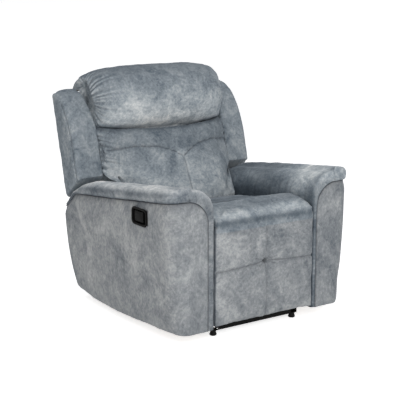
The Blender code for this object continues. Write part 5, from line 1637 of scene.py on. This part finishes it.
    def build_lumbar(self, wardrobe: Wardrobe) -> None:
        """The lumbar cushion, with a wide V of seams and an upright seam below its point.

        Args:
            wardrobe: the chair's finishes.
        """
        piece = loft("lumbar_cushion_velvet", self.lumbar_skin())
        line_x = np.concatenate([np.linspace(-0.345, 0.0, 60), np.linspace(0.0, 0.345, 60)[1:]])
        vee = self.world(line_x, self.vee_line(line_x), 0.28 - 0.09 * np.abs(line_x / 0.345))
        upright = self.world(np.zeros(60), np.linspace(self.vee_s, self.lumbar_bottom, 60), np.full(60, 0.33))
        places = points_of(piece.data)
        x, (up, forward) = np.abs(places[:, 0]), self.local(places)
        held = (forward < self.rest_n + 0.02) | (np.abs(up - self.vee_line(x)) < 0.005)
        held |= (x < 0.005) & (up < self.vee_s)
        held |= x > self.wing_inner - 0.004
        swell(piece, held, Stuffing(pressure=4.0, spare=0.03, reach=0.010))
        refine(piece)
        refine(piece)
        crumple(piece, height=0.0022, wavelength=0.12, seed=71)
        places = points_of(piece.data)
        x, up = np.abs(places[:, 0]), self.local(places)[0]
        inward = np.clip(self.wing_inner - x, 0, None) + 0.2 * smooth(-up, -0.10, -0.05)
        gathers(piece, up + 0.5 * inward, inward, pitch=0.026, reach=0.040, height=0.0026)
        sew(piece, [Seam(vee, depth=0.0035, width=0.005, ink=0.55), Seam(upright, depth=0.0030, width=0.005, ink=0.45)])
        # Painted light and shade on the cushion by the way its faces look and by place.
        brush(piece, (-0.5, -0.65, -0.55), 0.45, self.lumbar_light(points_of(piece.data)))
        dress(piece, "back", wardrobe.cloud, ("lumbar_cushion",))

    def build_roll(self, wardrobe: Wardrobe) -> None:
        """The head roll: an elliptic bolster, hooked over the top of the frame and gathered at both ends.

        The section is an ellipse in front and above, a quarter ellipse down behind, and flat where it rests.
        Towards the ends its depth shrinks with (1 - |u|^4)^0.45, and pleats run in from both end seams.

        Args:
            wardrobe: the chair's finishes.
        """
        hook, top = self.wing_top + 0.006, self.roll_s + self.roll_half_s
        turn = np.radians(np.linspace(-78, 90, 54))
        over = np.linspace(0, math.pi / 2, 18)[1:]
        s = [
            self.roll_s + self.roll_half_s * np.sin(turn),
            hook + (top - hook) * np.cos(over),
            np.full(4, hook),
            np.linspace(hook, self.lumbar_top, 16)[1:],
            np.full(5, self.lumbar_top),
        ]
        n = [
            self.roll_n + self.roll_half_n * np.cos(turn),
            self.roll_n + (self.roll_rear - self.roll_n) * np.sin(over),
            np.linspace(self.roll_rear, self.rest_n, 5)[1:],
            np.full(15, self.rest_n),
            np.linspace(self.rest_n, 0.150, 6)[1:],
        ]
        s, n = np.concatenate(s), np.concatenate(n)
        u = self.roll_reach * close_to(85, ends=0.75)[:, None]
        swelling = (1 - np.abs(u) ** 4) ** 0.45
        bottom = self.lumbar_line(u * self.wing_inner) + self.roll_gap
        high = np.where(s > hook, hook + (s - hook) * (0.35 + 0.65 * swelling), np.maximum(s, bottom))
        deep = np.where(n > self.rest_n, self.rest_n + (n - self.rest_n) * (0.32 + 0.68 * swelling), n)
        rings = self.world(u * self.roll_end(high) + self.roll_shift * smooth(high, 0.40, 0.50), high, deep)
        ends = [self.world(np.float64(k * 0.35 * self.roll_reach), 0.525, 0.09) for k in (-1, 1)]
        piece = loft("head_roll_velvet", rings, (0.8, 0.55, 0.25), tuple(ends))
        up, forward = self.local(points_of(piece.data))
        held = (forward < self.rest_n + 0.012) & (up < hook + 0.01)
        held |= np.abs(points_of(piece.data)[:, 0]) > 0.36
        swell(piece, held, Stuffing(pressure=4.0, spare=0.02, reach=0.008))
        refine(piece)
        crumple(piece, height=0.0020, wavelength=0.14, seed=83)
        places = points_of(piece.data)
        x, (up, forward) = places[:, 0], self.local(places)
        angle = np.arctan2(up - self.roll_s, forward - self.roll_n)
        inward = self.roll_end(up) - np.abs(x)
        far = 10 * (forward < self.rest_n + 0.01) + 0.035 * (x > 0)
        gathers(piece, self.roll_half_n * angle, inward + far, pitch=0.034, reach=0.040, height=0.0045)
        places = points_of(piece.data)
        over = self.local(places)[0] - self.lumbar_line(places[:, 0])
        # Painted light by the way the faces look, and painted shade where the roll lies over the lumbar cushion.
        brush(piece, (0, -0.5, -0.85), 1.25, self.roll_whole_light - self.roll_edge_shade * bell(over, 0.0, 0.010))
        dress(piece, "back", wardrobe.cloud, ("head_roll",))

    def build_wing(self, side: Side, wardrobe: Wardrobe) -> None:
        """A wing: a rounded oblong carried up the lean, slanted below, its front bent back as a quarter ellipse.

        The top is a low dome over the last section.

        Args:
            side: which wing.
            wardrobe: the chair's finishes.
        """
        crest = self.wing_top - self.wing_lid * (1 - np.sin(np.linspace(0.1, math.pi / 2, 16)))
        body = np.linspace(self.wing_rear_s + 0.025, crest[0], 48)[:-1]
        level = np.concatenate([self.wing_rear_s + np.array([0.0, 0.002, 0.006, 0.013]), body, crest])
        rise = (level - self.wing_rear_s) / (self.wing_top - self.wing_rear_s)
        quarter = 13
        unit = corners(quarter)

        def lost(radius: float) -> Array:
            """How far a side is drawn in near the top by a round edge of one radius, and a little at the foot.

            Args:
                radius: the edge's radius.

            Returns:
                The way in at each level.
            """
            over = np.clip(level - self.wing_top + radius, 0, radius)
            foot = np.clip(self.wing_rear_s + 0.013 - level, 0, 0.013)
            return radius - np.sqrt(radius**2 - over**2) + 0.25 * foot

        shut = 0.016 * smooth(level, 0.40, 0.49) * (side is Side.RIGHT)
        x0, x1 = (self.inner(level) + lost(0.004) - shut)[:, None], (self.wing_outer - lost(0.020))[:, None]
        bend = self.bent(level)[:, None]
        n0, half_x = lost(0.010)[:, None], (x1 - x0) / 2
        corner = np.repeat([self.wing_corner, self.wing_fold, self.wing_fold, self.wing_corner], quarter)
        corner = np.minimum(corner, 0.48 * np.minimum(x1 - x0, self.wing_depth * bend - n0))
        x = (x0 + x1) / 2 + unit[:, 0] * (half_x - corner) + unit[:, 2] * corner
        near, far = self.wing_depth * bend**0.6, self.wing_depth * bend
        n1 = near + (far - near) * (x - x0) / (x1 - x0)
        n = (n0 + n1) / 2 + unit[:, 1] * ((n1 - n0) / 2 - corner) + unit[:, 3] * corner
        slant = (self.wing_front_s - self.wing_rear_s) * (n / self.wing_depth) * np.clip(1 - 2 * rise, 0, 1)[:, None]
        rings = self.world(side.value * x, level[:, None] + slant, n + 0.0006)
        middle, up = rings[-1].mean(0), self.world(0.0, self.wing_dome, 0.0) - self.world(0.0, 0.0, 0.0)
        middle[0] -= side.value * 0.025
        dome = [middle + (rings[-1] - middle) * math.cos(a) + up * math.sin(a) for a in np.radians((20, 40, 58, 74))]
        piece = loft(f"wing_{side.word}_velvet", np.concatenate([rings, dome]), (0.7, 0.35))
        refine(piece)
        crumple(piece, height=0.0016, wavelength=0.12, seed=91 + side.value)
        line_s = np.linspace(0.06, 0.44, 60)
        welt = self.world(np.full(60, side.value * self.wing_outer), line_s, 0.145 * self.bent(line_s))
        sew(piece, [Seam(welt, depth=0.004, width=0.005, ink=0.5)])
        # Painted light and shade on the wing by the way its faces look.
        brush(piece, *WING_LIGHT[side])
        dress(piece, "back", wardrobe.wing, (f"wing_{side.word}",))

    def build_panel(self, wardrobe: Wardrobe) -> None:
        """The outer back panel: a low crown behind a flat back, narrow between the arms and wide above them.

        Args:
            wardrobe: the chair's finishes.
        """
        step = 0.008 + 0.014 * np.linspace(0, 1, 8)
        rows = np.concatenate([np.linspace(-0.165, 0.006, 18), step, np.linspace(0.03, self.wing_top, 46)])
        u = close_to(64, ends=0.7)[None, :]
        half = self.panel_foot + (self.panel_half - self.panel_foot) * smooth(rows, 0.008, 0.022)
        half = (half - 0.05 * smooth(rows, self.wing_top - 0.06, self.wing_top))[:, None]
        part = (rows - rows[0]) / (rows[-1] - rows[0])
        crown = np.sqrt(np.clip(np.sin(math.pi * part), 0, 1))[:, None] * (1 - np.abs(u) ** 4)
        x = half * u
        s = np.broadcast_to(rows[:, None], x.shape)
        rear = self.world(x, s, -0.004 - self.panel_crown * crown)
        flat = self.world(x[:, ::-7], s[:, ::-7], np.full_like(x[:, ::-7], -0.0006))
        piece = loft("back_panel_velvet", np.concatenate([rear, flat], axis=1))
        crumple(piece, height=0.0012, wavelength=0.15, seed=101)
        dress(piece, "back", wardrobe.side, ("back_panel",))


@dataclass
class GapCloth:
    """Two strips of cloth that hide the frame where the gap below the leaning back opens.

    The tail runs rearwards from the seat, and the flap hangs from the lumbar cushion's foot before the bottom rail.
    """

    tail_half: float = 0.208
    flap_half: float = 0.215
    tail_front: tuple = (0.188, 0.4165)
    tail_rear: tuple = (0.272, 0.3935)
    flap_top: tuple = (-0.045, 0.104)
    flap_foot: tuple = (-0.168, 0.078)
    sag: float = 0.003
    thick: float = 0.003

    def build(self, wardrobe: Wardrobe) -> None:
        """Make and dress both strips.

        Args:
            wardrobe: the chair's finishes.
        """
        back = Back()
        ends = [back.world(np.zeros(1), *np.array(place)[:, None])[0, 1:] for place in (self.flap_top, self.flap_foot)]
        self.strip("seat_tail_velvet", "seat", self.tail_half, (self.tail_front, self.tail_rear), wardrobe)
        self.strip("back_flap_velvet", "back", self.flap_half, tuple(ends), wardrobe)

    def strip(self, name: str, body: str, half: float, ends: tuple, wardrobe: Wardrobe) -> None:
        """One strip: a straight run in Y and Z from edge to edge, less a sine sag, with an even thickness.

        Args:
            name: the piece's name.
            body: the body it rides on.
            half: half of its width.
            ends: Y and Z of its first and of its last edge.
            wardrobe: the chair's finishes.
        """
        start, end = ends
        x, run = half * close_to(40, ends=0.5)[:, None], np.linspace(0, 1, 24)[None, :]
        y = start[0] + (end[0] - start[0]) * run
        z = start[1] + (end[1] - start[1]) * run - self.sag * np.sin(math.pi * run)
        face = np.stack(np.broadcast_arrays(x, y, z), -1)
        across = np.array([0.0, end[1] - start[1], start[0] - end[0]])
        under = face[:, ::-1] + self.thick * across / np.linalg.norm(across)
        piece = loft(name, np.concatenate([face, under], axis=1))
        # Painted shade: the strips darker, and a little lighter where they face up.
        brush(piece, (0, 0, 1), 0.1, -0.6)
        dress(piece, body, wardrobe.side)


@dataclass
class RearRail:
    """The covered rail between the arms below the back."""

    thick: float = 0.025
    radius: float = 0.005

    def build(self, wardrobe: Wardrobe) -> None:
        """Make and dress the rail: its leaning oblong section with round corners, carried across.

        Args:
            wardrobe: the chair's finishes.
        """
        low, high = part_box("rear_rail")
        lean, r = high.y - low.y - self.thick, self.radius
        side, up, cosine, sine = corners(6).T
        y = self.thick / 2 + side * (self.thick / 2 - r) + r * cosine
        z = (low.z + high.z) / 2 + up * ((high.z - low.z) / 2 - r) + r * sine
        section = np.column_stack([low.y + y + lean * (z - low.z) / (high.z - low.z), z])
        x = high.x * close_to(60, ends=0.5)
        rings = np.stack([np.column_stack([np.full(len(section), place), section]) for place in x])
        piece = loft("rear_rail_velvet", rings)
        crumple(piece, height=0.0006, wavelength=0.10, seed=117)
        dress(piece, "base", wardrobe.side, ("rear_rail",))


# The studio


def seen_by(tree: bpy.types.NodeTree, rays: tuple) -> bpy.types.NodeSocket:
    """A value that is 1 for some kinds of ray and 0 for all others.

    Args:
        tree: the tree that it's for.
        rays: the kinds of ray.

    Returns:
        The value's socket.
    """
    path = node(tree, "LightPath", {})
    found, *others = [path.outputs[f"Is {ray} Ray"] for ray in rays]
    for other in others:
        found = node(tree, "Math", {0: found, 1: other}, operation="MAXIMUM").outputs[0]
    return found


def turn_to(thing: bpy.types.Object, place: tuple, aim: tuple) -> None:
    """Stand a lamp or a camera at a place, facing a point."""
    thing.location = place
    thing.rotation_euler = (Vector(aim) - Vector(place)).to_track_quat("-Z", "Y").to_euler()


@dataclass
class Studio:
    """A white floor and backdrop, soft light and the camera.

    A lamp's row is its name, its place, the point it faces, its side and its power in watts.
    """

    eye: tuple = (-2.696, -3.9665, 1.534)
    target: tuple = (-0.0237, -0.0565, 0.4991)
    lens: float = 95.5
    sensor: float = 36.0
    floor_half: float = 40.0
    floor_glow: float = 0.72
    air_light: float = 0.32
    lamps: tuple = (
        ("key", (-2.4, -4.4, 2.3), (0, 0, 0.5), 2.0, 130),
        ("fill", (3.0, -3.4, 1.6), (0, 0, 0.5), 2.0, 34),
        ("top", (-0.3, 0.6, 3.8), (0, 0, 0.6), 2.6, 40),
    )

    def build(self) -> None:
        """Make the floor, the world, the lamps and the camera."""
        scene = bpy.context.scene
        scene.view_settings.view_transform = "Standard"
        self.floor()
        self.world()
        for name, place, aim, size, power in self.lamps:
            light = bpy.data.lights.new(name, "AREA")
            light.size, light.energy = size, power
            turn_to(show(name, light), place, aim)
        camera = bpy.data.cameras.new("camera")
        camera.lens, camera.sensor_width = self.lens, self.sensor
        scene.camera = show("camera", camera)
        turn_to(scene.camera, self.eye, self.target)

    def floor(self) -> None:
        """A wide pale plane that keeps the chair's shadow and looks white to the camera."""
        size, mesh = self.floor_half, bpy.data.meshes.new("floor")
        mesh.from_pydata([(-size, -size, 0), (size, -size, 0), (size, size, 0), (-size, size, 0)], [], [(0, 1, 2, 3)])
        floor = show("floor", mesh)
        made, tree, shader = surface("floor_white")
        seen = seen_by(tree, ("Camera", "Glossy"))
        look = {
            "Base Color": (0.9, 0.9, 0.9, 1),
            "Roughness": 0.9,
            "Emission Color": (1, 1, 1, 1),
            "Emission Strength": node(tree, "Math", {0: seen, 1: self.floor_glow}, operation="MULTIPLY").outputs[0],
        }
        join(tree, shader, look)
        mesh.materials.append(made)

    def world(self) -> None:
        """Even light from all round, which the camera and reflections see as white."""
        world = bpy.data.worlds.new("studio")
        world.use_nodes = True
        bpy.context.scene.world = world
        tree = world.node_tree
        seen = seen_by(tree, ("Camera", "Glossy", "Transmission"))
        level = node(tree, "MapRange", {"Value": seen, "To Min": self.air_light, "To Max": 1.0})
        join(tree, tree.nodes["Background"].inputs, {"Color": (1, 1, 1, 1), "Strength": level.outputs["Result"]})


def main() -> None:
    """Build the chair's looks, piece by piece."""
    logging.basicConfig(level=logging.INFO, format="%(name)s: %(message)s")
    Studio().build()
    wardrobe = Wardrobe()
    wardrobe.dress_solids()
    for side in Side:
        Arm(side).build(wardrobe)
    RearRail().build(wardrobe)
    ChaiseFold(Seat().build(wardrobe), Footrest().build(wardrobe)).build(wardrobe)
    Back().build(wardrobe)
    GapCloth().build(wardrobe)


if __name__ == "__main__":
    main()
